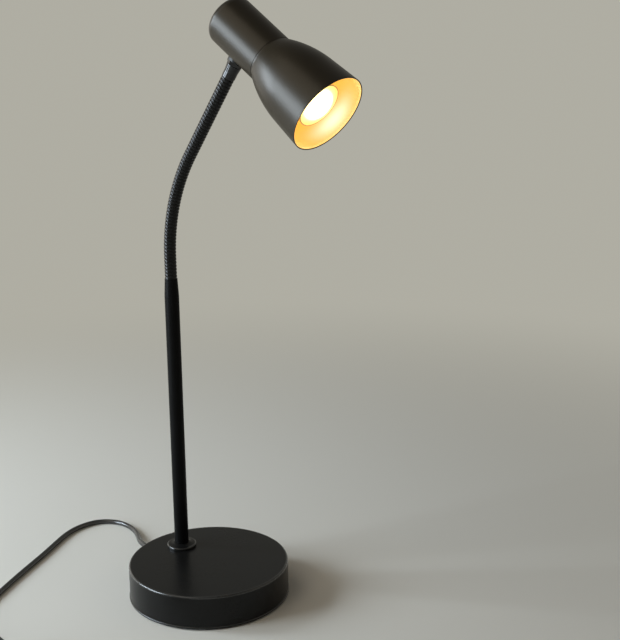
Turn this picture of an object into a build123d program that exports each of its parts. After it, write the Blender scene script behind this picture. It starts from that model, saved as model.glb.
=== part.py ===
from build123d import *
import math
import os

# Desk lamp with a weighted round base, an upright tube, a bendable ribbed neck and a bell shade.
# Millimetres. The origin is the centre of the base's underside, +Z is up and the front is -Y.

# Fits shared by many pieces
overrun = 1.0            # how far a cutting shape passes the face it cuts
fit_gap = 0.05           # radial room of a part that slides into another
soft_gap = 0.2           # room around the cord's tie and over sunk screw heads

# Base
base_diameter = 150.0
base_height = 32.2
base_edge_round = 2.0
shell_wall = 1.8
shell_top = 2.2
pad_thickness = 1.5
pad_inset = 4.0
plate_thickness = 1.6
plate_lip = 0.6
wiring_height = 13.4     # room for the cord and the terminals between the plate and the ballast
ballast_gap = 1.0
leg_diameter = 12.0
leg_inset = 20.0
leg_count = 3
leg_start_angle = -60.0
plate_screw_diameter = 4.0
plate_screw_head = 6.6
plate_screw_length = 9.0
screw_slot_width = 0.8
screw_slot_depth = 0.7

# Cord entry inside the base
cord_diameter = 5.0
cord_height = 9.6
relief_length = 26.0
relief_root_diameter = 9.6
relief_tip_diameter = 6.8
relief_groove_diameter = 9.0
relief_flange_diameter = 12.0
relief_flange_outside = 2.0
relief_flange_inside = 2.6
relief_seat = 0.5
clamp_inset = 15.0       # from the rear of the base to the middle of the cord clamp
clamp_length = 25.0
clamp_width = 8.0
clamp_thickness = 2.0
clamp_screw_spacing = 16.0
clamp_screw_diameter = 3.0
clamp_screw_head = 5.4
clamp_screw_head_height = 1.5
terminal_length = 16.0
terminal_width = 20.0
terminal_height = 8.0
terminal_x = -24.0
terminal_setback = 17.0  # how far the terminals lie in front of the stem
terminal_screw_diameter = 3.2
terminal_screw_head_height = 1.2
terminal_screw_depth = 3.0
wire_diameter = 1.8
wire_pitch = 2.2
wire_spread = 5.0
stem_lead_bend = 3.6
stem_lead_start = 5.0
stem_lead_floor = 0.4

# Stem
stem_inset = 32.0        # from the rear of the base to the stem's axis
stem_diameter = 13.4
stem_wall = 1.1
collar_diameter = 28.0
collar_height = 4.0
collar_edge_height = 2.8
collar_edge_round = 1.2
collar_seat_depth = 2.0
collar_lip = 0.8
nipple_diameter = 9.6
nipple_bore = 6.0
nipple_rise = 16.0
nipple_drop = 1.5
stem_nut_across = 14.0
stem_nut_height = 5.0
stem_washer_diameter = 20.0
stem_washer_thickness = 1.2
stem_washer_teeth = 12
stem_washer_tooth_depth = 1.4
taper_length = 17.0
taper_spigot = 14.0
taper_tip_diameter = 11.8
lead_diameter = 3.4

# Ribbed neck
neck_start = 297.6
neck_turn = 8.6          # degrees that the bend is turned from straight ahead, towards +X
neck_lean = 35.8         # degrees that the neck leans at its upper end
neck_straight = 20.0
neck_bend_radius = 160.0
neck_reach = 100.5       # straight upper stretch, up to the side of the head
neck_crest_diameter = 11.3
neck_groove_diameter = 10.0
neck_bore = 4.2
neck_links = 9
ribs_per_link = 7
rib_shares = (0.0, 0.22, 0.62, 0.84)
ball_diameter = 8.4
ball_gap = 0.2
ball_shoulder = 2.05

# Joint between the neck and the head
ferrule_length = 13.0
ferrule_low_diameter = 11.8
ferrule_high_diameter = 13.2
ferrule_flare_share = 0.45
ferrule_socket = 8.0
lock_nut_across = 13.0
lock_nut_height = 3.4
saddle_diameter = 15.0
saddle_thickness = 1.2
head_nipple_diameter = 9.0
head_nipple_bore = 5.0
head_nut_across = 13.0
head_nut_height = 3.6

# Head
cup_diameter = 43.2
cup_length = 59.2
cup_wall = 1.2
cup_round = 6.5
cup_crease = 0.8
neck_behind_crease = 30.6
bell_length = 71.6
bell_mouth_diameter = 70.4
bell_root_diameter = 41.8
bell_wall = 1.2
shoulder_length_share = 0.58
shoulder_rise_share = 0.84
holder_diameter = 24.0
holder_rear = 17.0
holder_back_wall = 3.0
holder_flange_diameter = 34.0
holder_flange = 3.0
skirt_diameter = 28.0
skirt_length = 16.0
sleeve_diameter = 15.4
sleeve_wall = 0.4
sleeve_length = 18.0
contact_length = 9.0
contact_width = 3.0
contact_thickness = 0.6
contact_top_share = 0.75
shade_ring_diameter = 36.0
shade_ring_height = 5.0
shade_ring_notches = 12
shade_ring_notch = 1.6
bracket_width = 12.0
bracket_thickness = 1.2
bracket_tail = 9.0
bracket_top_share = 0.4
bracket_screw_diameter = 3.0
bracket_screw_head = 5.6
bracket_screw_head_height = 1.8
bracket_screw_depth = 2.4
head_lead_bend = 7.0

# Reflector bulb
bulb_diameter = 39.0
bulb_length = 70.6
bulb_recess = 5.6        # how far the bulb's front lies inside the mouth
bulb_cap_diameter = 13.8
bulb_cap_length = 19.0
bulb_tip_diameter = 9.0
bulb_tip_length = 1.6
bulb_neck_diameter = 17.0
bulb_neck_length_share = 0.1
bulb_rim_height = 5.0
bulb_dome = 6.0
bulb_glass = 0.8

# Switch on the cord
switch_x = -210.5
switch_front = 46.0
switch_length = 62.0
switch_width = 24.0
switch_height = 17.0
switch_round = 4.0
switch_wall = 1.8
switch_split = 8.0       # height of the split between the halves, where the cord runs
rocker_length = 21.0
rocker_width = 11.0
rocker_gap = 0.9
rocker_throw = 18.0      # degrees from one side to the other
rocker_rise = 2.6
rocker_depth = 5.0
rocker_side_share = 0.9
rocker_belly_share = 0.45
pivot_diameter = 3.0
pivot_reach = 1.6
pivot_drop = 1.4
pivot_gap = 0.08
switch_screw_diameter = 2.6
switch_screw_head = 4.6
switch_screw_head_height = 1.8
switch_screw_length = 10.0
switch_screw_inset = 12.0
switch_pillar_diameter = 6.0

# Put-away coil, its tie and the plug
cord_lead_out = 12.0     # straight run behind the strain relief
switch_lead_in = 17.0    # straight run before the switch
link_reach = 33.0        # from the switch to the coil
link_straight = 10.0
tail_reach = 29.0        # from the coil to the plug
tail_straight = 10.0
coil_turns = 7
coil_least_radius = 20.5
coil_pitch = 5.5
coil_lift = 1.1
climb_share = 0.5        # share of a turn in which the coil climbs to its upper layer
coil_lead = 5.0          # straight end at each side of the coil
coil_samples = 72        # places to a turn where the gap is measured
tie_width = 10.0
tie_thickness = 0.9
tie_round = 3.0
plug_length = 36.0
plug_width = 26.0
plug_nose_width = 20.0
plug_back_width = 13.0
plug_shoulder_share = 0.33
plug_thickness = 14.0
plug_round = 3.0
plug_relief_length = 14.0
plug_relief_diameter = 9.0
plug_relief_tip_diameter = 8.6
pin_length = 19.0
pin_diameter = 4.0
pin_spacing = 15.2
pin_seat = 4.0

# Worked out from the sizes above
base_radius = base_diameter / 2
cord_radius = cord_diameter / 2
plate_top = pad_thickness + plate_thickness
ballast_top = base_height - shell_top
ballast_low = plate_top + wiring_height
ballast_radius = base_radius - shell_wall - ballast_gap
stem_offset = base_radius - stem_inset
clamp_distance = base_radius - clamp_inset
lead_sheath_end = clamp_distance - clamp_width / 2
terminal_y = stem_offset - terminal_setback
stem_low = base_height + collar_height - collar_seat_depth
stem_top = neck_start - taper_length
stem_bore = stem_diameter / 2 - stem_wall
neck_bend = neck_bend_radius * math.radians(neck_lean)
neck_length = neck_straight + neck_bend + neck_reach
head_stack = ferrule_length + lock_nut_height + saddle_thickness
ribbed_length = neck_length - head_stack
link_spacing = ribbed_length / neck_links
cup_radius = cup_diameter / 2
cup_inner = cup_radius - cup_wall
bulb_front = bell_length - bulb_recess
bulb_back = bulb_front - bulb_length


def rod(radius, low, high, x=0, y=0):
    """Upright round bar between two heights."""
    return Pos(x, y, low) * Cylinder(radius, high - low, align=(Align.CENTER, Align.CENTER, Align.MIN))


def ring(outer, inner, low, high, x=0, y=0):
    """Upright tube between two heights."""
    return rod(outer, low, high, x, y) - rod(inner, low - overrun, high + overrun, x, y)


def turned(edges):
    """Solid of revolution about Z from edges that close in the XZ plane."""
    return revolve(make_face(edges), Axis.Z)


def outline(*points):
    """Closed outline of (radius, height) points in the XZ plane."""
    return Polyline(*[(radius, 0, height) for radius, height in points], close=True)


def block(length, width, low, high, x=0, y=0):
    """Upright box between two heights, centred on x and y."""
    return Pos(x, y, low) * Box(length, width, high - low, align=(Align.CENTER, Align.CENTER, Align.MIN))


def hex_nut(across, bore, low, high):
    """Hexagon nut on the Z axis between two heights."""
    body = Pos(0, 0, low) * extrude(RegularPolygon(across / 2, 6, major_radius=False), high - low)
    return body - rod(bore, low - overrun, high + overrun)


def tube(path, radius):
    """Round bar along a path."""
    return sweep(Plane(path @ 0, z_dir=path % 0) * Circle(radius), path=path)


def slotted(head, radius, low):
    """Screw head with a driver slot cut into its lower face."""
    return head - block(radius * 2 + overrun, screw_slot_width, low - overrun, low + screw_slot_depth)


# Base: pad, plate, shell and ballast
def foot_pad():
    return rod(base_radius - pad_inset, 0, pad_thickness)


def leg_places():
    return PolarLocations(ballast_radius - leg_inset, leg_count, leg_start_angle)


def plate_screw():
    """Countersunk screw with its face on z = 0 and its shank upwards."""
    head_radius = plate_screw_head / 2
    shank_radius = plate_screw_diameter / 2
    head_height = head_radius - shank_radius
    head = turned(outline((0, 0), (head_radius, 0), (shank_radius, head_height), (0, head_height)))
    return slotted(head + rod(shank_radius, 0, plate_screw_length), head_radius, 0)


def bottom_screws():
    lift = Pos(0, 0, pad_thickness)
    return Compound(children=[place * lift * plate_screw() for place in leg_places()])


def bottom_plate():
    plate = rod(base_radius + plate_lip, pad_thickness, plate_top)
    plate = fillet(plate.edges().group_by(Axis.Z)[-1], plate_lip)
    head_radius = plate_screw_head / 2 + fit_gap
    shank_radius = plate_screw_diameter / 2 + fit_gap
    sink = outline((0, 0), (head_radius, 0), (shank_radius, head_radius - shank_radius),
                   (shank_radius, plate_thickness + overrun), (0, plate_thickness + overrun))
    for place in leg_places():
        plate -= place * Pos(0, 0, pad_thickness) * turned(sink)
    return plate


def cord_entry(radius, near, far):
    """Bar along the cord's way through the rear wall, from one distance behind the axis to another."""
    return Pos(0, near, cord_height) * Rot(-90, 0, 0) * rod(radius, 0, far - near)


def base_shell():
    shell = rod(base_radius, plate_top, base_height)
    shell = fillet(shell.edges().group_by(Axis.Z)[-1], base_edge_round)
    shell -= rod(base_radius - shell_wall, plate_top - overrun, ballast_top)
    shell -= rod(nipple_diameter / 2 + fit_gap, ballast_top - overrun, base_height + overrun, 0, stem_offset)
    return shell - cord_entry(relief_groove_diameter / 2 + fit_gap, base_radius / 2, base_radius + overrun)


def clamp_face():
    return cord_height + cord_radius + fit_gap


def ballast_disc():
    disc = rod(ballast_radius, ballast_low, ballast_top)
    for place in leg_places():
        disc += place * rod(leg_diameter / 2, plate_top, ballast_low + overrun)
    disc += block(clamp_length, clamp_width, clamp_face(), ballast_low + overrun, 0, clamp_distance)
    for place in leg_places():
        disc -= place * rod(plate_screw_diameter / 2 + fit_gap, plate_top - overrun,
                            pad_thickness + plate_screw_length + overrun)
    for side in (-1, 1):
        disc -= rod(clamp_screw_diameter / 2 + fit_gap, clamp_face() - overrun, ballast_top - overrun,
                    side * clamp_screw_spacing / 2, clamp_distance)
    bore = nipple_diameter / 2 + fit_gap
    return disc - rod(bore, ballast_low - overrun, ballast_top + overrun, 0, stem_offset)


# Cord entry, clamp and terminals
def cord_bushing():
    """Moulded strain relief: a flange each side of the shell's wall and a tapered tail."""
    sag = relief_flange_diameter ** 2 / (8 * base_radius)
    wall_out = base_radius + fit_gap
    wall_in = base_radius - shell_wall - sag - relief_seat
    flange = relief_flange_diameter / 2
    groove = relief_groove_diameter / 2
    bore = cord_radius + fit_gap
    tip = base_radius + relief_length
    profile = outline(
        (bore, wall_in - relief_flange_inside), (flange, wall_in - relief_flange_inside), (flange, wall_in),
        (groove, wall_in), (groove, wall_out), (flange, wall_out), (flange, wall_out + relief_flange_outside),
        (relief_root_diameter / 2, wall_out + relief_flange_outside), (relief_tip_diameter / 2, tip),
        (bore, tip))
    return Pos(0, 0, cord_height) * Rot(-90, 0, 0) * turned(profile)


def base_lead():
    return cord_entry(cord_radius, lead_sheath_end, base_radius + relief_length)


def clamp_low():
    return cord_height - cord_radius - fit_gap - clamp_thickness


def cord_clamp():
    bar = block(clamp_length, clamp_width, clamp_low(), clamp_low() + clamp_thickness, 0, clamp_distance)
    bar = fillet(bar.edges().filter_by(Axis.Z), clamp_width / 4)
    for side in (-1, 1):
        x = side * clamp_screw_spacing / 2
        bar -= rod(clamp_screw_diameter / 2 + fit_gap, 0, clamp_face(), x, clamp_distance)
    return bar


def clamp_screws():
    low = clamp_low() - clamp_screw_head_height
    screws = []
    for side in (-1, 1):
        x = side * clamp_screw_spacing / 2
        head = slotted(rod(clamp_screw_head / 2, 0, clamp_screw_head_height), clamp_screw_head / 2, 0)
        shank = rod(clamp_screw_diameter / 2, clamp_low(), ballast_low, x, clamp_distance)
        screws.append(Pos(x, clamp_distance, low) * head + shank)
    return Compound(children=screws)


def terminal_places():
    return GridLocations(terminal_length / 2, terminal_width / 2, 2, 2)


def terminal_block():
    low = ballast_low - terminal_height
    body = block(terminal_length, terminal_width, low, ballast_low)
    body = fillet(body.edges().filter_by(Axis.Z), terminal_width / 8)
    for place in terminal_places():
        body -= place * rod(terminal_screw_diameter / 2 + fit_gap, low - overrun, low + terminal_screw_depth)
    return Pos(terminal_x, terminal_y, 0) * body


def terminal_screws():
    low = ballast_low - terminal_height
    start = low - terminal_screw_head_height
    radius = terminal_screw_diameter / 2
    screw = slotted(rod(radius, start, low + terminal_screw_depth), radius, start)
    return Compound(children=[Pos(terminal_x, terminal_y, 0) * place * screw for place in terminal_places()])


def base_wires():
    """Two cores from the sheath to the terminals, one turning inside the other."""
    wires = []
    end_y = terminal_y + terminal_width / 2
    end_z = ballast_low - terminal_height / 2
    for number, side in ((1, -1), (2, 1)):
        start_x = side * wire_pitch / 2
        turn_y = lead_sheath_end - wire_pitch * number
        end_x = terminal_x + side * wire_spread / 2
        points = [(start_x, lead_sheath_end, cord_height), (start_x, turn_y, cord_height),
                  (end_x, turn_y, end_z), (end_x, end_y, end_z)]
        wires.append(tube(FilletPolyline(*points, radius=wire_diameter), wire_diameter / 2))
    return Compound(children=wires)


# Stem: collar, tube, clamping parts and the taper that takes the neck
def at_stem(part):
    return Pos(0, stem_offset, 0) * part


def stem_collar():
    foot = collar_diameter / 2
    neck = stem_diameter / 2 + collar_lip
    edge = base_height + collar_edge_height
    top = base_height + collar_height
    bore = nipple_diameter / 2 + fit_gap
    seat = stem_diameter / 2 + fit_gap
    side = (foot, 0, edge - collar_edge_round)
    rim = (foot - collar_edge_round, 0, edge)
    edges = [
        Polyline((bore, 0, base_height), (foot, 0, base_height), side),
        TangentArc(side, rim, tangent=(0, 0, 1)),
        TangentArc(rim, (neck, 0, top), tangent=(-1, 0, 0)),
        Polyline((neck, 0, top), (seat, 0, top), (seat, 0, stem_low), (bore, 0, stem_low),
                 (bore, 0, base_height))]
    return at_stem(turned(edges))


def stem_tube():
    return ring(stem_diameter / 2, stem_bore, stem_low, stem_top, 0, stem_offset)


def stem_nipple():
    low = ballast_low - stem_washer_thickness - stem_nut_height - nipple_drop
    return ring(nipple_diameter / 2, nipple_bore / 2, low, base_height + nipple_rise, 0, stem_offset)


def stem_washer():
    low = ballast_low - stem_washer_thickness
    washer = ring(stem_washer_diameter / 2, nipple_diameter / 2 + fit_gap, low, ballast_low)
    for place in PolarLocations(stem_washer_diameter / 2, stem_washer_teeth):
        washer -= place * rod(stem_washer_tooth_depth / 2, low - overrun, ballast_low + overrun)
    return at_stem(washer)


def stem_nut():
    high = ballast_low - stem_washer_thickness
    return at_stem(hex_nut(stem_nut_across, nipple_diameter / 2 + fit_gap, high - stem_nut_height, high))


def stem_taper():
    """Turned reducer from the tube to the neck, with a spigot inside the tube."""
    spigot = stem_bore - fit_gap
    bore = neck_bore / 2
    profile = outline((bore, stem_top - taper_spigot), (spigot, stem_top - taper_spigot), (spigot, stem_top),
                      (stem_diameter / 2, stem_top), (taper_tip_diameter / 2, neck_start), (bore, neck_start))
    return at_stem(turned(profile))


def stem_lead():
    """Lead from the terminals, under the stem's nut and up the tube to the neck."""
    side = terminal_x + terminal_length / 2
    start_z = ballast_low - terminal_height / 2
    low = plate_top + stem_lead_floor + lead_diameter / 2
    path = FilletPolyline((side, terminal_y, start_z), (side + stem_lead_start, terminal_y, start_z),
                          (0, stem_offset, low), (0, stem_offset, neck_start), radius=stem_lead_bend)
    return tube(path, lead_diameter / 2)


# Neck: a centre line that rises, bends forward and runs straight to the head
heading = Vector(math.sin(math.radians(neck_turn)), -math.cos(math.radians(neck_turn)), 0)
sideways = Vector(math.cos(math.radians(neck_turn)), math.sin(math.radians(neck_turn)), 0)


def neck_plane(distance):
    """Plane across the neck at a distance along it, with a steady X axis."""
    along_bend = min(max(distance - neck_straight, 0), neck_bend)
    lean = along_bend / neck_bend_radius
    beyond = max(distance - neck_straight - neck_bend, 0)
    reach = neck_bend_radius * (1 - math.cos(lean)) + beyond * math.sin(lean)
    rise = min(distance, neck_straight) + neck_bend_radius * math.sin(lean) + beyond * math.cos(lean)
    centre = Vector(0, stem_offset, neck_start + rise) + heading * reach
    return Plane(centre, x_dir=sideways, z_dir=heading * math.sin(lean) + Vector(0, 0, 1) * math.cos(lean))


def neck_joint(number):
    """Distance along the neck of the joint above a link."""
    return number * link_spacing


def stations(start, end, count):
    return [start + (end - start) * step / count for step in range(count + 1)]


def ribbed(start, end, ribs):
    """Ribs between two distances, four circles to a rib."""
    groove = neck_groove_diameter / 2
    crest = neck_crest_diameter / 2
    circles = []
    for low, high in zip(stations(start, end, ribs), stations(start, end, ribs)[1:]):
        for share, radius in zip(rib_shares, (groove, crest, crest, groove)):
            circles.append(neck_plane(low + (high - low) * share) * Circle(radius))
    circles.append(neck_plane(end) * Circle(groove))
    return loft(circles, ruled=True)


def along_neck(start, end, radius):
    """Smooth round bar that follows the neck between two distances."""
    return loft([neck_plane(s) * Circle(radius) for s in stations(start, end, ribs_per_link)], ruled=True)


def neck_link(number):
    """One link: ribs, a ball above for the next link and a socket below for the last one's ball."""
    first = number == 1
    last = number == neck_links
    start = neck_joint(number - 1)
    end = neck_joint(number)
    top = end if last else end - ball_shoulder
    link = ribbed(start, top, ribs_per_link)
    if not last:
        link += neck_plane(end).location * Sphere(ball_diameter / 2)
    if not first:
        link -= neck_plane(start).location * Sphere(ball_diameter / 2 + ball_gap)
    return link - along_neck(max(start - overrun, 0), end + ball_diameter, neck_bore / 2)


def neck_lead():
    """The lead through the whole neck, which bends with it."""
    pieces = neck_links * 2
    circles = [neck_plane(s) * Circle(lead_diameter / 2) for s in stations(0, ribbed_length, pieces)]
    return loft(circles, ruled=True)


# Head joint, built upwards from the neck's last rib
def at_neck_top(part):
    return neck_plane(ribbed_length).location * part


def neck_ferrule():
    low = ferrule_low_diameter / 2
    high = ferrule_high_diameter / 2
    flare = ferrule_length * ferrule_flare_share
    socket = ferrule_length - ferrule_socket
    bore = head_nipple_diameter / 2 + fit_gap
    profile = outline((neck_bore / 2, 0), (low, 0), (low, flare), (high, ferrule_length),
                      (bore, ferrule_length), (bore, socket), (neck_bore / 2, socket))
    return at_neck_top(turned(profile))


def lock_nut():
    bore = head_nipple_diameter / 2 + fit_gap
    return at_neck_top(hex_nut(lock_nut_across, bore, ferrule_length, ferrule_length + lock_nut_height))


# The head's own frame: Z runs forward along the shade from the crease, Y points away from the neck
neck_top = neck_plane(neck_length)
head_slope = math.radians(neck_lean)
head_forward = heading * math.cos(head_slope) - Vector(0, 0, 1) * math.sin(head_slope)
crease_centre = neck_top.origin + neck_top.z_dir * cup_radius + head_forward * neck_behind_crease
head_place = Plane(crease_centre, x_dir=sideways, z_dir=head_forward).location


def head_upright(radius, low, high):
    """Bar along the neck's line in the head's frame, between two heights on Y."""
    return Pos(0, low, -neck_behind_crease) * Rot(-90, 0, 0) * rod(radius, 0, high - low)


def head_saddle():
    """Washer that is flat on the nut's side and follows the cup on the other."""
    seat = -cup_radius - saddle_thickness
    ring_side = head_upright(saddle_diameter / 2, seat, seat + saddle_diameter / 2)
    ring_side -= head_upright(head_nipple_diameter / 2 + fit_gap, seat - overrun, 0)
    return head_place * (ring_side - rod(cup_radius + fit_gap, -cup_length, 0))


def bracket_seat():
    """Height of the bracket's foot where its edges touch the inside of the cup."""
    return -math.sqrt(cup_inner ** 2 - (bracket_width / 2) ** 2) + fit_gap


def nipple_top():
    return bracket_seat() + bracket_thickness + head_nut_height + fit_gap


def head_nipple():
    low = -cup_radius - saddle_thickness - lock_nut_height - ferrule_socket + fit_gap
    nipple = head_upright(head_nipple_diameter / 2, low, nipple_top())
    return head_place * (nipple - head_upright(head_nipple_bore / 2, low - overrun, nipple_top() + overrun))


def head_nut():
    low = bracket_seat() + bracket_thickness
    nut = hex_nut(head_nut_across, head_nipple_diameter / 2 + fit_gap, 0, head_nut_height)
    return head_place * Pos(0, low, -neck_behind_crease) * Rot(-90, 0, 0) * nut


def holder_bracket():
    """Bent strip: a foot under the nut and an upright behind the lampholder."""
    back = -neck_behind_crease - bracket_tail
    front = -holder_rear
    foot_low = bracket_seat()
    foot_high = foot_low + bracket_thickness
    top = holder_diameter / 2 * bracket_top_share
    foot = Box(bracket_width, bracket_thickness, front - back)
    upright = Box(bracket_width, top - foot_low, bracket_thickness)
    strip = Pos(0, foot_low + bracket_thickness / 2, (back + front) / 2) * foot
    strip += Pos(0, (foot_low + top) / 2, front - bracket_thickness / 2) * upright
    strip -= head_upright(head_nipple_diameter / 2 + fit_gap, foot_low - overrun, foot_high + overrun)
    strip -= rod(bracket_screw_diameter / 2 + fit_gap, front - bracket_thickness - overrun, front + overrun)
    return head_place * strip


def holder_screw():
    seat = -holder_rear - bracket_thickness
    low = seat - bracket_screw_head_height
    head = slotted(rod(bracket_screw_head / 2, low, seat), bracket_screw_head / 2, low)
    return head_place * (head + rod(bracket_screw_diameter / 2, seat, -holder_rear + bracket_screw_depth))


def lampholder():
    """Moulded holder: back body, flange behind the shade and a skirt that passes through it."""
    body = holder_diameter / 2
    skirt = skirt_diameter / 2
    flange = holder_flange_diameter / 2
    well = sleeve_diameter / 2 + fit_gap
    floor = -holder_rear + holder_back_wall
    rear = -holder_rear
    profile = outline((0, rear), (body, rear), (body, -holder_flange), (flange, -holder_flange), (flange, 0),
                      (skirt, 0), (skirt, skirt_length), (well, skirt_length), (well, floor), (0, floor))
    screw_hole = rod(bracket_screw_diameter / 2 + fit_gap, rear - overrun, rear + bracket_screw_depth)
    return head_place * (turned(profile) - screw_hole)


def holder_sleeve():
    outer = sleeve_diameter / 2
    return head_place * ring(outer, outer - sleeve_wall, skirt_length - sleeve_length, skirt_length)


def holder_contact():
    """Springy strip on the holder's floor that meets the bulb's tip."""
    floor = -holder_rear + holder_back_wall
    top_length = contact_length * contact_top_share
    riser_x = (contact_length - contact_thickness) / 2
    top_x = (contact_length - top_length) / 2
    strip = block(contact_length, contact_width, floor, floor + contact_thickness)
    strip += block(contact_thickness, contact_width, floor, bulb_back, riser_x)
    strip += block(top_length, contact_width, bulb_back - contact_thickness, bulb_back, top_x)
    return head_place * strip


def shade_ring():
    outer = shade_ring_diameter / 2
    low = bell_wall
    ring_body = ring(outer, skirt_diameter / 2 + fit_gap, low, low + shade_ring_height)
    for place in PolarLocations(outer, shade_ring_notches):
        ring_body -= place * rod(shade_ring_notch / 2, low - overrun, low + shade_ring_height + overrun)
    return head_place * ring_body


def head_lead():
    """Lead from the neck's end through the nipple and round to the back of the holder."""
    start = -cup_radius - head_stack
    top = holder_diameter / 2 - lead_diameter
    back = -neck_behind_crease
    path = FilletPolyline((0, start, back), (0, top, back), (0, top, -holder_rear), radius=head_lead_bend)
    return head_place * tube(path, lead_diameter / 2)


def socket_cup():
    """Round-ended cup, open at the front, with the neck's hole in its side."""
    outer = cup_radius
    inner = cup_inner
    rear = -cup_length
    floor = rear + cup_wall
    round_top = rear + cup_round
    flat = outer - cup_round
    edges = [
        Line((0, 0, rear), (flat, 0, rear)),
        TangentArc((flat, 0, rear), (outer, 0, round_top), tangent=(1, 0, 0)),
        Polyline((outer, 0, round_top), (outer, 0, -cup_crease), (outer - cup_crease, 0, 0), (inner, 0, 0),
                 (inner, 0, round_top)),
        TangentArc((inner, 0, round_top), (flat, 0, floor), tangent=(0, 0, -1)),
        Polyline((flat, 0, floor), (0, 0, floor), (0, 0, rear))]
    neck_hole = head_upright(head_nipple_diameter / 2 + fit_gap, -cup_radius - overrun, 0)
    return head_place * (turned(edges) - neck_hole)


def shade_bell():
    """Spun bell: a rear flange, a rounded shoulder and a straight flare to the mouth."""
    root = bell_root_diameter / 2
    mouth = bell_mouth_diameter / 2
    hole = skirt_diameter / 2 + fit_gap
    bend = Vector(root + (mouth - root) * shoulder_rise_share, 0, bell_length * shoulder_length_share)
    end = Vector(mouth, 0, bell_length)
    flare = (end - bend).normalized()
    inward = Vector(-flare.Z, 0, flare.X) * bell_wall
    inner_root = Vector(root - bell_wall, 0, bell_wall)
    edges = [
        Line((hole, 0, 0), (root, 0, 0)),
        TangentArc(bend, (root, 0, 0), tangent=-flare),
        Polyline(bend, end, end + inward, bend + inward),
        TangentArc(bend + inward, inner_root, tangent=-flare),
        Polyline(inner_root, (hole, 0, bell_wall), (hole, 0, 0))]
    return head_place * turned(edges)


# Reflector bulb: tip, cap, reflector and lens
def bulb_contact():
    return head_place * rod(bulb_tip_diameter / 2, bulb_back, bulb_back + bulb_tip_length)


def bulb_cap():
    low = bulb_back + bulb_tip_length
    return head_place * rod(bulb_cap_diameter / 2, low, low + bulb_cap_length)


def bulb_reflector():
    """Open glass cup from the cap to the lens."""
    low = bulb_back + bulb_tip_length + bulb_cap_length
    high = bulb_front - bulb_dome
    neck = bulb_neck_diameter / 2
    rim = bulb_diameter / 2
    bowl_low = low + (high - low) * bulb_neck_length_share
    bowl_high = high - bulb_rim_height
    inner_neck = neck - bulb_glass
    inner_rim = rim - bulb_glass
    floor = low + bulb_glass
    edges = [
        Polyline((0, 0, low), (neck, 0, low), (neck, 0, bowl_low)),
        TangentArc((rim, 0, bowl_high), (neck, 0, bowl_low), tangent=(0, 0, -1)),
        Polyline((rim, 0, bowl_high), (rim, 0, high), (inner_rim, 0, high), (inner_rim, 0, bowl_high)),
        TangentArc((inner_rim, 0, bowl_high), (inner_neck, 0, bowl_low), tangent=(0, 0, -1)),
        Polyline((inner_neck, 0, bowl_low), (inner_neck, 0, floor), (0, 0, floor), (0, 0, low))]
    return head_place * turned(edges)


def bulb_lens():
    """Domed front glass that closes the reflector."""
    rim = bulb_diameter / 2
    low = bulb_front - bulb_dome
    edges = [
        Line((0, 0, bulb_front - bulb_glass), (0, 0, bulb_front)),
        TangentArc((0, 0, bulb_front), (rim, 0, low), tangent=(1, 0, 0)),
        Line((rim, 0, low), (rim - bulb_glass, 0, low)),
        TangentArc((0, 0, bulb_front - bulb_glass), (rim - bulb_glass, 0, low), tangent=(1, 0, 0))]
    return head_place * turned(edges)


# Cord: its way over the table as x, y and the height of its underside, chosen by hand
cord_points = [
    (5.5, 127.0, 4.5), (14.0, 141.5, 1.3), (21.0, 158.0, 0.1), (23.5, 176.0, 0), (19.0, 194.0, 0),
    (5.0, 207.5, 0), (-14.0, 209.5, 0), (-34.0, 204.0, 0), (-55.0, 191.0, 0), (-80.0, 174.5, 0),
    (-107.0, 158.5, 0), (-134.5, 141.5, 0), (-163.0, 122.5, 0), (-186.0, 106.5, 0.1), (-203.0, 85.0, 2.1)]
arc_share = 0.45

switch_back = switch_front - switch_length
cord_start = Vector(0, base_radius + relief_length, cord_height)
switch_entry = Vector(switch_x, switch_front, switch_split)
switch_exit = Vector(switch_x, switch_back, switch_split)
coil_start = Vector(switch_x, switch_back - link_reach, cord_radius + coil_lift)
coil_end_height = coil_start.Z + coil_pitch
coil_most_radius = coil_least_radius + coil_pitch * coil_turns / 2
coil_centre = coil_start + Vector(coil_most_radius, -coil_lead, 0)
coil_exit = Vector(switch_x, coil_start.Y - 2 * coil_lead, coil_end_height)
plug_axis = plug_thickness / 2
plug_back = coil_exit.Y - tail_reach


def cord_tube(points):
    """Round cord along straight runs joined by arcs as large as the runs allow."""
    radii = []
    for before, corner, after in zip(points, points[1:], points[2:]):
        first = corner - before
        second = after - corner
        half_turn = math.radians(first.get_angle(second)) / 2
        radii.append(arc_share * min(first.length, second.length) / math.tan(half_turn))
    path = FilletPolyline(*points, radius=radii)
    solid = tube(path, cord_radius)
    filled_share = solid.volume / (math.pi * cord_radius ** 2 * path.length)
    print("cord of length", round(path.length, 1), "with bends of", [round(radius) for radius in radii])
    print("  its volume against a plain bar's", round(filled_share, 4))
    return solid


def cord_run():
    way = [Vector(x, y, low + cord_radius) for x, y, low in cord_points]
    lead_out = cord_start + Vector(0, cord_lead_out, 0)
    lead_in = switch_entry + Vector(0, switch_lead_in, 0)
    return cord_tube([cord_start, lead_out] + way + [lead_in, switch_entry])


def cord_link():
    near = switch_exit - Vector(0, link_straight, 0)
    far = coil_start + Vector(0, link_straight, 0)
    return cord_tube([switch_exit, near, far, coil_start])


def cord_tail():
    plug_end = Vector(switch_x, plug_back, plug_axis)
    near = coil_exit - Vector(0, tail_straight, 0)
    far = plug_end + Vector(0, tail_straight, 0)
    return cord_tube([coil_exit, near, far, plug_end])


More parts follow.
